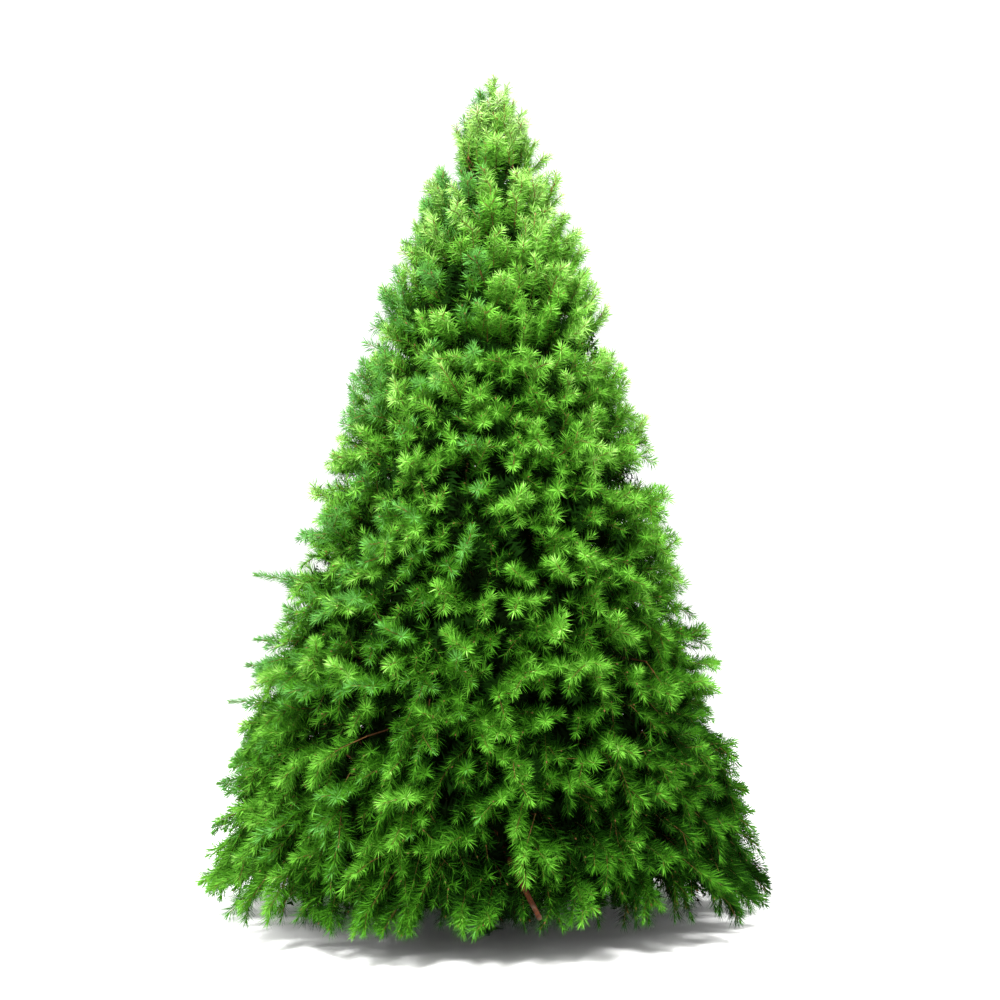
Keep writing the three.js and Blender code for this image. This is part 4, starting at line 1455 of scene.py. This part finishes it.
def fill_sprays(space, draw):
    """Shorter sprays, on a finer grid of the same space and by the same growth."""
    wide, tall = space.size(FILL_OUT)
    share = space.place(0.5, 0.5, 1)[2] / TREE_HEIGHT
    spacing = mix(FILL_SPACING, TOP_FILL_SPACING, share**4)
    if space.hang:
        spacing = SKIRT_FILL_SPACING
    columns, rows = max(2, round(wide / spacing)), max(2, round(tall / spacing))
    sprays = []
    for row in range(rows):
        for column in range(columns):
            across = (column + between(FILL_PLACE, draw)) / columns
            up = mix(-space.hang, 1, (row + between(FILL_PLACE, draw)) / rows)
            rim = space.place(across, up, 1)
            recess = FILL_RECESS * between(RECESS_VARIES, draw) - CLUMP_DEPTH * clump(rim)
            recess = max(LEAST_RECESS, recess)
            tip = space.place(across, up, 1 - recess / outline_radius(rim[2]))
            turn, lift = either_way(FILL_TURN, draw) * calm(tip[2]), fill_lift(tip[2], draw)
            length = mix(*FILL_LENGTH, tip[2] / TREE_HEIGHT) * between(FILL_VARIES, draw)
            if inside(space, tip):
                sprays.append(grown_back(tip, turn, lift, length, draw))
    return sprays


# %% Sprays over the seams and along the skirt's rim
SEAM_SPACING = 60
SEAM_WIDTH = 0.03
SEAM_REACH = (0.9, 0.98)
SEAM_TURN = 0.25
FRINGE_OUT = 0.95
FRINGE_SPACING = 26
FRINGE_TOP = 0.08
FRINGE_REACH = (0.74, 1)
FRINGE_UNEVEN = 24
FRINGE_LIFT = (-28, -2)


def seam_sprays(space, draw):
    """Sprays that cover the seam between a mass and its neighbour."""
    _, tall = space.size(FILL_OUT)
    count = round(tall / SEAM_SPACING)
    sprays = []
    for i in range(count):
        across, up = either_way(SEAM_WIDTH, draw), (i + draw()) / count
        tip = space.place(across, up, between(SEAM_REACH, draw))
        turn, lift = either_way(SEAM_TURN, draw), fill_lift(tip[2], draw)
        length = mix(*FILL_LENGTH, tip[2] / TREE_HEIGHT)
        if tip[2] > lowest_side_tip(tip):
            sprays.append(grown_back(tip, turn, lift, length, draw))
    return sprays


def fringe_sprays(space, draw):
    """A row of hanging sprays that closes the lower rim of the skirt."""
    wide, _ = space.size(FRINGE_OUT)
    count = round(wide / FRINGE_SPACING) if space.hang else 0
    sprays = []
    for i in range(count):
        across, up = (i + draw()) / count, mix(-space.hang, FRINGE_TOP, draw())
        tip = space.place(across, up, between(FRINGE_REACH, draw))
        tip[2] = max(tip[2], lowest_side_tip(tip) + FRINGE_UNEVEN * draw())
        turn, lift = either_way(FILL_TURN, draw), math.radians(between(FRINGE_LIFT, draw))
        sprays.append(grown_back(tip, turn, lift, FILL_LENGTH[0], draw))
    return sprays


# %% [markdown]
# ## Limbs inside a mass
# Inside the foliage a bough forks into side limbs, and these carry a twig to the root of every
# spray. We choose for each spray the limb that can reach it on the straightest way.

# %% Limbs of a mass
Limb = namedtuple("Limb", "start end radii")
LIMB_END = 0.7
SIDE_LIMB_END = 0.66
SIDE_LIMB_PLACES = ((0.26, 0.30), (0.74, 0.30), (0.26, 0.72), (0.74, 0.72))
SIDE_LIMB_LEAVES = 0.3
LIMB_RADII = (8, 4)
SIDE_LIMB_RADII = (5.5, 3)
CARRIER_LEAD = 0.2
CARRIER_FIRST = 0.08
CARRIER_BOW = 0.12
CARRIER_RADII = (3.4, 2.8, 2.2)


def mass_limbs(space, inner):
    """The bough's own end, from an inner share of the radius, and its side limbs."""
    start, end = space.place(0.5, 0.5, inner), space.place(0.5, 0.5, LIMB_END)
    limbs = [Limb(start, end, LIMB_RADII)]
    fork = mix(start, end, SIDE_LIMB_LEAVES)
    for across, up in SIDE_LIMB_PLACES:
        limbs.append(Limb(fork, space.place(across, up, SIDE_LIMB_END), SIDE_LIMB_RADII))
    return limbs


def carrier(limbs, spray):
    """A curved twig from the nearest limb to the root of a spray."""
    starts = []
    for limb in limbs:
        along = limb.end - limb.start
        share = np.dot(spray.root - limb.start, along) / along.dot(along) - CARRIER_LEAD
        starts.append(limb.start + along * clamp(share, CARRIER_FIRST, 1))
    start = min(starts, key=lambda place: np.linalg.norm(spray.root - place))
    heading = unit(spray.tip - spray.root)
    bow = CARRIER_BOW * np.linalg.norm(spray.root - start)
    return [start, (start + spray.root) / 2 - heading * bow, spray.root], CARRIER_RADII


# %% [markdown]
# ## Old sprays inside
# Behind this year's shoots a fir is filled with older, darker sprays, which no light gets
# through. They are seen only as a dark ground in the gaps, so each is a simple comb: one
# triangle for each clump of needles on both sides of a twig, painted near-black as painted
# shade.

# %% Old sprays as combs
COMB_LAYERS = (0.28, 0.40, 0.50, 0.60, 0.69, 0.77, 0.84)
COMB_SPACING = 62
COMB_PLACE = (0.2, 0.8)
COMB_VARIES = (0.94, 1.06)
COMB_LEAN = (-0.2, 0.6)
COMB_CROSSING = 80
COMB_LENGTH = (145, 90)
COMB_DEPTH = 48
SKIRT_STEEPNESS = 0.35
COMB_TEETH = 16
COMB_TOOTH = 0.28
TOOTH_VARIES = (0.5, 1.25)
TOOTH_NARROWING = 0.45
TOOTH_JITTER = 0.3
TOOTH_LEAN = (0.2, 0.9)
TOOTH_TILT = 0.4
HANGING_BACK = 0.85
HANGING_SPACING = 4
HANGING_LENGTH = 150
SHORTEST_HANGING = 50
HANGING_UP = (0.05, 0.45)
HANGING_OUT = (0.42, 0.84)
HANGING_LEAN = (-0.1, 0.5)
HANGING_CLEAR = 38
SEAM_CROSSING = 0.15
INNER_DEPTH = 80


def comb(root, along, face, length, draw):
    """Corners and triangles of one old spray."""
    side = np.cross(along, face)
    step = length / COMB_TEETH
    corners = []
    for i in range(COMB_TEETH):
        narrowed = 1 - TOOTH_NARROWING * i / COMB_TEETH
        for flip in (-1, 1):
            tooth = COMB_TOOTH * length * between(TOOTH_VARIES, draw) * narrowed
            begin = root + along * step * (i + either_way(TOOTH_JITTER, draw))
            lean = between(TOOTH_LEAN, draw)
            out = lean * along + flip * side + either_way(TOOTH_TILT, draw) * face
            corners += [begin, begin + along * step, begin + tooth * unit(out)]
    return np.array(corners), np.arange(len(corners)).reshape(-1, 3)


def hanging_sprays(space, draw):
    """Old sprays that hang behind the fringe and close the skirt down to its lower rim."""
    wide, _ = space.size(HANGING_BACK)
    combs = []
    for _ in range(round(wide / HANGING_SPACING) if space.hang else 0):
        across = mix(-SEAM_CROSSING, 1 + SEAM_CROSSING, draw())
        top = space.place(across, between(HANGING_UP, draw), between(HANGING_OUT, draw))
        outward = unit(from_trunk(top))
        along = unit(outward * between(HANGING_LEAN, draw) - point(0, 0, 1))
        rim = lowest_side_tip(top) + HANGING_CLEAR
        length = min(HANGING_LENGTH, (top[2] - rim) / -along[2])
        if length > SHORTEST_HANGING:
            combs.append(comb(top, along, face_on(along, outward), length, draw))
    return combs


def old_sprays(space, draw):
    """Old sprays in layers, each turned at random round the way out of the tree."""
    combs = []
    for out in COMB_LAYERS:
        wide, tall = space.size(out)
        columns, rows = max(1, round(wide / COMB_SPACING)), max(1, round(tall / COMB_SPACING))
        for cell in range(columns * rows):
            across = (cell % columns + between(COMB_PLACE, draw)) / columns
            up = (cell // columns + between(COMB_PLACE, draw)) / rows
            middle = space.place(across, up, out * between(COMB_VARIES, draw))
            outward = unit(from_trunk(middle))
            turn = either_way(math.pi, draw)
            steep = math.sin(turn) * (SKIRT_STEEPNESS if space.hang else 1)
            along = math.cos(turn) * np.cross((0, 0, 1), outward) + steep * point(0, 0, 1)
            along = unit(along + outward * between(COMB_LEAN, draw))
            length = mix(*COMB_LENGTH, middle[2] / TREE_HEIGHT)
            root = middle - along * length / 2
            ends = root, root + along * length
            stays = all(space.clearance(end) > -COMB_CROSSING for end in ends)
            if stays and inwards(np.array(ends)).min() > COMB_DEPTH:
                combs.append(comb(root, along, face_on(along, outward), length, draw))
    return combs


# %% [markdown]
# ## Meshes from arrays
# A tree has hundreds of thousands of needles, far too many to model one by one, so their meshes
# are made from arrays of points. A needle is a kite of two triangles, folded a little along its
# middle, so it catches the light on one half. Further in, where few needles are seen, a needle
# is one triangle. A twig is a thin three-sided tube.

# %% Needles of a shoot
NEEDLE_WIDTH = 2.2
NEEDLES_PER_MM = 1.5
DEEP_NEEDLES_PER_MM = 0.95
DEEP_SHOOT = 45
FEWEST_NEEDLES = 12
ANGLE_SPREAD = 0.25
NEEDLE_PARTING = 0.42
NEEDLE_OPENING = (52, 66)
OPENING_SPREAD = 8
NEEDLE_CLOSING = 30
NEEDLE_RISE = 0.14
NEEDLE_TWIST = 0.35
LEAST_NEEDLE = 0.8
NEEDLE_UNEVEN = 0.25
TIP_SHORTENING = 0.42
TWIG_TAPER = 0.5
NEEDLE_BELLY = 0.42
NEEDLE_CREASE = 0.28
KITE = np.array([(0, 1, 2), (0, 2, 3)])
BLADE = np.array([(0, 1, 2)])
BLADE_DEPTH = 12


def rows_unit(vectors):
    return vectors / np.linalg.norm(vectors, axis=1)[:, None]


def curve_at(shoot, t):
    """Places and directions along a shoot's curve."""
    t = t[:, None]
    places = (1 - t) ** 2 * shoot.root + 2 * t * (1 - t) * shoot.bend + t**2 * shoot.tip
    ways = 2 * (1 - t) * (shoot.bend - shoot.root) + 2 * t * (shoot.tip - shoot.bend)
    return places, rows_unit(ways)


def needle_frames(shoot, dice):
    """Base, heading, width direction and length of each needle, and its place on the shoot."""
    length = np.linalg.norm(shoot.tip - shoot.root)
    up = height_share(shoot.tip[2])
    deep = inwards(shoot.tip[None])[0] > DEEP_SHOOT
    per_mm = DEEP_NEEDLES_PER_MM if deep else NEEDLES_PER_MM
    bare = shoot.twig.bare
    count = max(FEWEST_NEEDLES, int(length * (1 - bare) * per_mm))
    t = bare + (1 - bare) * (np.arange(count) + dice.random(count)) / count
    places, ways = curve_at(shoot, t)
    face = rows_unit(shoot.face - ways * (ways @ shoot.face)[:, None])
    side = np.cross(ways, face)
    angle = np.arange(count) * GOLDEN_ANGLE + dice.normal(0, ANGLE_SPREAD, count)
    angle += NEEDLE_PARTING * up**2 * np.sin(2 * angle)
    away = np.cos(angle)[:, None] * face + np.sin(angle)[:, None] * side
    opening = mix(*NEEDLE_OPENING, up) - NEEDLE_CLOSING * t**4
    opening = np.radians(opening + dice.normal(0, OPENING_SPREAD, count))[:, None]
    heading = rows_unit(np.cos(opening) * ways + np.sin(opening) * away + NEEDLE_RISE * face)
    across = np.cross(heading, away) + dice.normal(0, NEEDLE_TWIST, (count, 3))
    across = rows_unit(across)
    across = rows_unit(across - heading * np.sum(across * heading, axis=1)[:, None])
    long = shoot.needle * (LEAST_NEEDLE + NEEDLE_UNEVEN * dice.random(count))
    long *= 1 - TIP_SHORTENING * t**5
    base = places + away * shoot.twig.radius * (1 - TWIG_TAPER * t[:, None])
    return base, heading, across, long[:, None], t


def needle_meshes(shoot, dice):
    """Folded kites on the outer shoots, and plain blades further in where few are seen."""
    base, heading, across, long, t = needle_frames(shoot, dice)
    tip = base + heading * long
    half = across * NEEDLE_WIDTH / 2
    if inwards(shoot.tip[None])[0] < BLADE_DEPTH:
        fold = np.cross(across, heading) * NEEDLE_CREASE * NEEDLE_WIDTH / 2
        belly = base + heading * NEEDLE_BELLY * long - fold
        corners, faces = np.stack([base, belly + half, tip, belly - half], axis=1), KITE
    else:
        corners, faces = np.stack([base - half, base + half, tip], axis=1), BLADE
    starts = corners.shape[1] * np.arange(len(t))[:, None, None]
    triangles = (faces[None] + starts).reshape(-1, 3)
    slots = np.repeat(colour_slots(tip, t, shoot, dice), len(faces))
    return corners.reshape(-1, 3), triangles, slots


# %% Tubes of a twig
TWIG_SIDES = 3
TOP_TWIG = 1.9
STEEP = 0.9
BUD_OUTLINE = ((0, 1.26), (2.8, 2.1), (7, 0.2))


def tube_arrays(points, radii):
    """Corners and triangles of a tube through points, closed at its tip."""
    points = np.array(points)
    ways = rows_unit(np.gradient(points, axis=0))
    hint = point(0, 0, 1) if abs(ways[0][2]) < STEEP else point(1, 0, 0)
    over = rows_unit(np.cross(ways, hint))
    beside = np.cross(ways, over)
    turn = 2 * np.pi * np.arange(TWIG_SIDES) / TWIG_SIDES
    rings = [
        p + r * (np.cos(turn)[:, None] * o + np.sin(turn)[:, None] * b)
        for p, r, o, b in zip(points, radii, over, beside)
    ]
    corners = np.concatenate(rings + [points[-1:] + ways[-1:] * radii[-1]])
    faces = []
    for ring in range(len(points) - 1):
        for i in range(TWIG_SIDES):
            a, b = ring * TWIG_SIDES + i, ring * TWIG_SIDES + (i + 1) % TWIG_SIDES
            faces += [(a, a + TWIG_SIDES, b + TWIG_SIDES), (a, b + TWIG_SIDES, b)]
    last, cap = (len(points) - 1) * TWIG_SIDES, len(corners) - 1
    faces += [(last + i, cap, last + (i + 1) % TWIG_SIDES) for i in range(TWIG_SIDES)]
    return corners, np.array(faces)


def bud(shoot):
    """The resting bud on the end of a main shoot."""
    way = unit(shoot.tip - shoot.bend)
    points = [shoot.tip + way * along for along, _ in BUD_OUTLINE]
    return tube_arrays(points, [radius for _, radius in BUD_OUTLINE])


def shoot_tube(shoot):
    """The twig of a shoot, thicker near the top of the tree, where it can be seen."""
    stations = np.array(shoot.twig.stations)
    places, _ = curve_at(shoot, stations)
    thick = shoot.twig.radius * mix(1, TOP_TWIG, height_share(shoot.tip[2]) ** 3)
    return tube_arrays(places, thick * (1 - TWIG_TAPER * stations))


# %% A mesh piece from arrays
def piece_from_arrays(name, corners, triangles, slots, materials):
    mesh = bpy.data.meshes.new(name)
    mesh.vertices.add(len(corners))
    mesh.vertices.foreach_set("co", (corners * METRES).astype(np.float32).ravel())
    mesh.loops.add(3 * len(triangles))
    mesh.loops.foreach_set("vertex_index", triangles.astype(np.int32).ravel())
    mesh.polygons.add(len(triangles))
    mesh.polygons.foreach_set("loop_start", np.arange(0, 3 * len(triangles), 3))
    for material in materials:
        mesh.materials.append(material)
    mesh.polygons.foreach_set("material_index", slots.astype(np.int32))
    mesh.update(calc_edges=True)
    piece = bpy.data.objects.new(name, mesh)
    bpy.context.collection.objects.link(piece)
    return piece


def joined(parts):
    """Joins (corners, triangles) pairs into one pair of arrays."""
    starts = np.cumsum([0] + [len(corners) for corners, _ in parts[:-1]])
    corners = np.concatenate([corners for corners, _ in parts])
    triangles = np.concatenate([faces + start for (_, faces), start in zip(parts, starts)])
    return corners, triangles


# %% [markdown]
# ## Colours of needles and twigs
# Young needles at the tips are bright, older ones further in are deep green. The pieces of
# foliage are too fine to carry a pattern, so each needle gets one of a few plain materials:
# which one depends on how deep it lies, on its age, on its spray and on its side of the tree.
# The depth and the side paint light and shade into the colour: painted shade deeper inside,
# painted light at the left, the upper right and the top, where the palest tone is a painted
# highlight.

# %% Materials for needles and twigs
NEEDLE_ROUGHNESS = 0.65
# Lit and shaded copies of one needle green, which also follow the needles' age: the darkest tones
# are painted shade, the fresh tone is partly painted light, the pale one a painted highlight.
NEEDLE_TONES = {
    "needle_shade": ("#060f03", 0.0),
    "needle_old": ("#173c07", 0.02),
    "needle_full": ("#386f12", 0.06),
    "needle_bright": ("#5c982c", 0.08),
    "needle_fresh": ("#88b557", 0.08),
    "needle_pale": ("#97b07b", 0.08),
    "needle_cool": ("#518b3b", 0.08),
    "needle_inner": ("#0b1f05", 0.0),
}
needle_materials = [
    plain_material(name, colour, NEEDLE_ROUGHNESS, gloss)
    for name, (colour, gloss) in NEEDLE_TONES.items()
]
tones = [name.split("_")[1] for name in NEEDLE_TONES]
SHADE, FULL, PALE = tones.index("shade"), tones.index("full"), tones.index("pale")
COOL, INNER_SHADE = tones.index("cool"), tones.index("inner")
YOUNG_TWIG_DEPTH = 90
twig_materials = [
    plain_material("twig_young", "#62421f", 0.75, 0.2),
    plain_material("twig_old", "#39220f", 0.85, 0.1),
    plain_material("bud", "#7a4a2a", 0.5),
]
YOUNG_TWIG, OLD_TWIG, BUD = range(len(twig_materials))


# %% Deal the colours out
RIM_LIGHT = 1.8
LIGHT_DEPTH = 70
AGE_LIGHT = 0.9
NEEDLE_SPECKLE = 0.3
TINT_LIGHT = 0.45
COOL_TINT = -0.1
LEFT_LIGHT = (0.2, 2.2)
RIGHT_LIGHT = (-1.2, 2.8)
RISING_LIGHT = 1.3
EVEN_HEIGHT = 0.35
TOP_LIGHT = 5
TOP_LIGHT_START = 0.78


def side_light(place):
    """Painted light: lighter at the left, upper right and top, darker at the lower right."""
    across = (place[0] - axis_x(place[2])) / CROWN_RADIUS
    up = place[2] / TREE_HEIGHT
    side = -across * mix(*LEFT_LIGHT, up) if across < 0 else across * mix(*RIGHT_LIGHT, up)
    return RISING_LIGHT * (up - EVEN_HEIGHT) + TOP_LIGHT * max(0, up - TOP_LIGHT_START) + side


def colour_slots(tips, t, shoot, dice):
    """Each needle's tone: painted shade inside, pale young tips in painted light, cool on some."""
    # Painted shade: the light value falls with depth inside the outline. The age along the shoot
    # and the spray's tint are the needles' own colour, and side_light adds painted light.
    light = RIM_LIGHT - inwards(tips) / LIGHT_DEPTH + AGE_LIGHT * t
    light += dice.normal(0, NEEDLE_SPECKLE, len(t))
    light += TINT_LIGHT * shoot.tint + side_light(shoot.tip)
    slots = np.clip(np.round(light), SHADE, PALE).astype(int)
    # The cool tone follows the spray's own tint, and is kept to the left side as painted light.
    if shoot.tint < COOL_TINT and shoot.tip[0] < 0:
        return np.where(slots > FULL, COOL, slots)
    return slots


# %% [markdown]
# ## Growing every mass
# For each mass we grow the frame's own sprays and blunt shoots, fill in between them, give every
# spray its carrying twig, and make one piece of needles and one of twigs.

# %% Build the pieces of one mass
def shoots_and_carriers(space, groups, limbs, seed):
    """The needle shoots of every spray, and the tubes of the limbs and twigs that carry them."""
    draw = seeded(seed)
    shoots, tubes = [], []
    for limb in limbs:
        middle = (limb.start + limb.end) / 2
        thick, thin = limb.radii
        radii = thick, (thick + thin) / 2, thin
        tubes.append(tube_arrays([limb.start, middle, limb.end], radii))
    for group, shares, reach, about in groups:
        for spray in group:
            tint = mix(-1, 1, draw())
            shoots += fan(space, spray, shares, reach, draw, tint, about)
            tubes.append(tube_arrays(*carrier(limbs, spray)))
    return shoots, tubes


def needles_piece(name, shoots, combs, seed):
    """One piece of the needles of every shoot and the old sprays further in."""
    dice = np.random.default_rng(seed)
    parts, slots = [], []
    for shoot in shoots:
        corners, triangles, shoot_slots = needle_meshes(shoot, dice)
        parts.append((corners, triangles))
        slots.append(shoot_slots)
    for corners, triangles in combs:
        parts.append((corners, triangles))
        # The old sprays get the two darkest tones as painted shade: the inner tone nearer the
        # outline, the shade tone deeper in.
        slots.append(np.where(inwards(corners[triangles[:, 2]]) < INNER_DEPTH, INNER_SHADE, SHADE))
    return piece_from_arrays(name, *joined(parts), np.concatenate(slots), needle_materials)


def twigs_piece(name, shoots, tubes):
    """One piece of the tubes given, the twig of every shoot, and a bud on each main one."""
    buds = [bud(shoot) for shoot in shoots if shoot.twig is MAIN_TWIG]
    bud_triangles = sum(len(triangles) for _, triangles in buds)
    corners, triangles = joined(tubes + [shoot_tube(shoot) for shoot in shoots] + buds)
    young = inwards(corners[triangles[:, 0]]) < YOUNG_TWIG_DEPTH
    slots = np.where(young, YOUNG_TWIG, OLD_TWIG)
    slots[len(slots) - bud_triangles :] = BUD
    return piece_from_arrays(name, corners, triangles, slots, twig_materials)


def build_mass(name, space, groups, limbs, combs, seed):
    """Makes the needles and the twigs of a mass, and counts the triangles of each."""
    shoots, tubes = shoots_and_carriers(space, groups, limbs, seed)
    green = needles_piece(f"needles_{name}", shoots, combs, seed)
    brown = twigs_piece(f"twigs_{name}", shoots, tubes)
    for piece, slot in ((green, "needles"), (brown, "bough_bark")):
        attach(piece, "root")
    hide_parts(f"foliage_{name}")
    return len(green.data.polygons), len(brown.data.polygons)


def shoot_groups(sprays, shoots, fills):
    """Sprays, places and reach of their side shoots, and whether these stand round about."""
    return (
        (sprays, FAN_SHARES, FAN_LENGTH, False),
        (shoots + fills, SHORT_FAN_SHARES, SHORT_FAN_LENGTH, True),
    )


# %% Grow all tiers
TIER_SEEDS = 100
MESH_SEEDS = 5000
STEM_AT_TRUNK = 0.02

total = np.zeros(2, int)
for level, tier in enumerate(TIERS):
    counts = []
    for sector, (name, space) in enumerate(tier_spaces(level, tier)):
        seed = SEED + TIER_SEEDS * level + sector
        draw = seeded(seed)
        sprays = grow_sprays(space, *tier.sprays, draw)
        shoots = core_shoots(space, *tier.cells, draw)
        fills = fill_sprays(space, draw) + fringe_sprays(space, draw) + seam_sprays(space, draw)
        counts.append(len(sprays))
        limbs = mass_limbs(space, STEM_AT_TRUNK if level >= BOUGH_TIERS else STEM_START)
        groups = shoot_groups(sprays, shoots, fills)
        combs = old_sprays(space, draw) + hanging_sprays(space, draw)
        total += build_mass(name, space, groups, limbs, combs, seed + MESH_SEEDS)
    print(tier.name, "sprays in each mass:", counts)
print("triangles of needles and of twigs:", total)

# %% Fill and old sprays round the leader
SPIRAL_JITTER = 0.3
LEADER_FILLS = 26
FILL_HEIGHTS = (LEADER_BASE + 30, TREE_HEIGHT - 45)
LEADER_FILL_REACH = (0.6, 0.95)
LEADER_FILL_TURN = 30
LEADER_FILL_LENGTH = 105
LEADER_FILL_VARIES = (0.75, 1.1)
WHORL_SHOOTS = 5
WHORL_JITTER = 0.2
WHORL_RADIUS = 32
WHORL_VARIES = (0.8, 1.2)
WHORL_DROP = (38, 80)
LEADER_COMBS = 60
LEADER_COMB_LENGTH = 85
LEADER_COMB_REACH = (0.15, 0.5)
LEADER_COMB_HEIGHTS = (1800, TREE_HEIGHT - 105)
LEADER_COMB_TURN = 2.5
LEADER_COMB_DIP = -1.5


def round_leader(count, heights, reach, draw):
    """Places in a spiral round the leader, at a share of the outline's radius."""
    for i in range(count):
        z = mix(*heights, (i + draw()) / count)
        angle = i * GOLDEN_ANGLE + either_way(SPIRAL_JITTER, draw)
        yield round_axis(angle, outline_radius(z) * between(reach, draw), z)


def leader_fills(draw):
    sprays = []
    for tip in round_leader(LEADER_FILLS, FILL_HEIGHTS, LEADER_FILL_REACH, draw):
        turn = math.radians(either_way(LEADER_FILL_TURN, draw))
        lift = fill_lift(tip[2], draw) / 2
        length = LEADER_FILL_LENGTH * between(LEADER_FILL_VARIES, draw)
        if above_neck(tip):
            root = tip - growth_direction(tip, turn, lift) * length
            sprays.append(Spray(root, tip, fill_roll(tip[2], draw)))
    return sprays


def leader_whorl(draw):
    """The whorl of short upright shoots round the tip, which makes it blunt."""
    sprays = []
    for i in range(WHORL_SHOOTS):
        angle = 2 * math.pi * (i + either_way(WHORL_JITTER, draw)) / WHORL_SHOOTS
        radius = WHORL_RADIUS * between(WHORL_VARIES, draw)
        z = TREE_HEIGHT - between(WHORL_DROP, draw)
        root = point(axis_x(z), 0, z - LEADER_FILL_LENGTH)
        sprays.append(Spray(root, round_axis(angle, radius, z), 0))
    return sprays


def leader_old_sprays(draw):
    combs = []
    for middle in round_leader(LEADER_COMBS, LEADER_COMB_HEIGHTS, LEADER_COMB_REACH, draw):
        along = growth_direction(middle, either_way(LEADER_COMB_TURN, draw), 0)
        face = face_on(along, growth_direction(middle, 0, LEADER_COMB_DIP))
        root = middle - along * LEADER_COMB_LENGTH / 2
        combs.append(comb(root, along, face, LEADER_COMB_LENGTH, draw))
    return combs


# %% Grow the leader
LEADER_SEED = SEED + 900
LEADER_LIMB_BELOW = 60
LEADER_LIMB_TIP = 3

draw = seeded(LEADER_SEED)
shoots = leader_shoots(draw)
sprays = leader_sprays(draw)
limb = Limb(
    point(axis_x(TRUNK_TOP), 0, TRUNK_TOP),
    point(axis_x(TREE_HEIGHT), 0, TREE_HEIGHT - LEADER_LIMB_BELOW),
    (TRUNK_RADII[1], LEADER_LIMB_TIP),
)
groups = shoot_groups(sprays, shoots, leader_fills(draw) + leader_whorl(draw))
combs = leader_old_sprays(draw)
total += build_mass("leader", None, groups, [limb], combs, LEADER_SEED + MESH_SEEDS)
print("with the leader:", total)

# %% [markdown]
# ## Floor and light
# A plain pale floor under a white sky. A soft lamp stands high at the front left, so the upper
# side of every shoot is bright and the gaps between them fall dark. Two more lamps lift the left
# side and the upper right.

# %% Floor and light
FLOOR_SIZE = 60
SKY_STRENGTH = 1.26
LAMPS_POINT_TO = Vector((0, 0, 1))

bpy.ops.mesh.primitive_plane_add(size=FLOOR_SIZE, location=(0, 0, 0))
floor = bpy.context.active_object
floor.name = "floor"
floor.data.materials.append(plain_material("floor_white", "#f4f4f2", 0.9))
floor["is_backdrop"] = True

world = bpy.data.worlds.new("studio")
world.use_nodes = True
background = world.node_tree.nodes["Background"]
background.inputs["Color"].default_value = (1, 1, 1, 1)
background.inputs["Strength"].default_value = SKY_STRENGTH
bpy.context.scene.world = world
bpy.context.scene.view_settings.view_transform = "Standard"


def soft_lamp(name, place, watts, size):
    data = bpy.data.lights.new(name, "AREA")
    data.energy = watts
    data.size = size
    lamp = bpy.data.objects.new(name, data)
    bpy.context.collection.objects.link(lamp)
    lamp.location = place
    way = LAMPS_POINT_TO - lamp.location
    lamp.rotation_euler = way.to_track_quat("-Z", "Y").to_euler()


soft_lamp("key_lamp", (-1.6, -3.2, 5.4), watts=815, size=1.5)
soft_lamp("side_lamp_left", (-4.6, -0.8, 2.6), watts=190, size=1.4)
soft_lamp("side_lamp_right", (3.2, -1.2, 4.8), watts=400, size=1.4)

# %% Sizes of the frame and of the dressed model
boxes = {"cad": cad_box, "visual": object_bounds()}
{n: [list(c) for c in box] for n, box in boxes.items()}
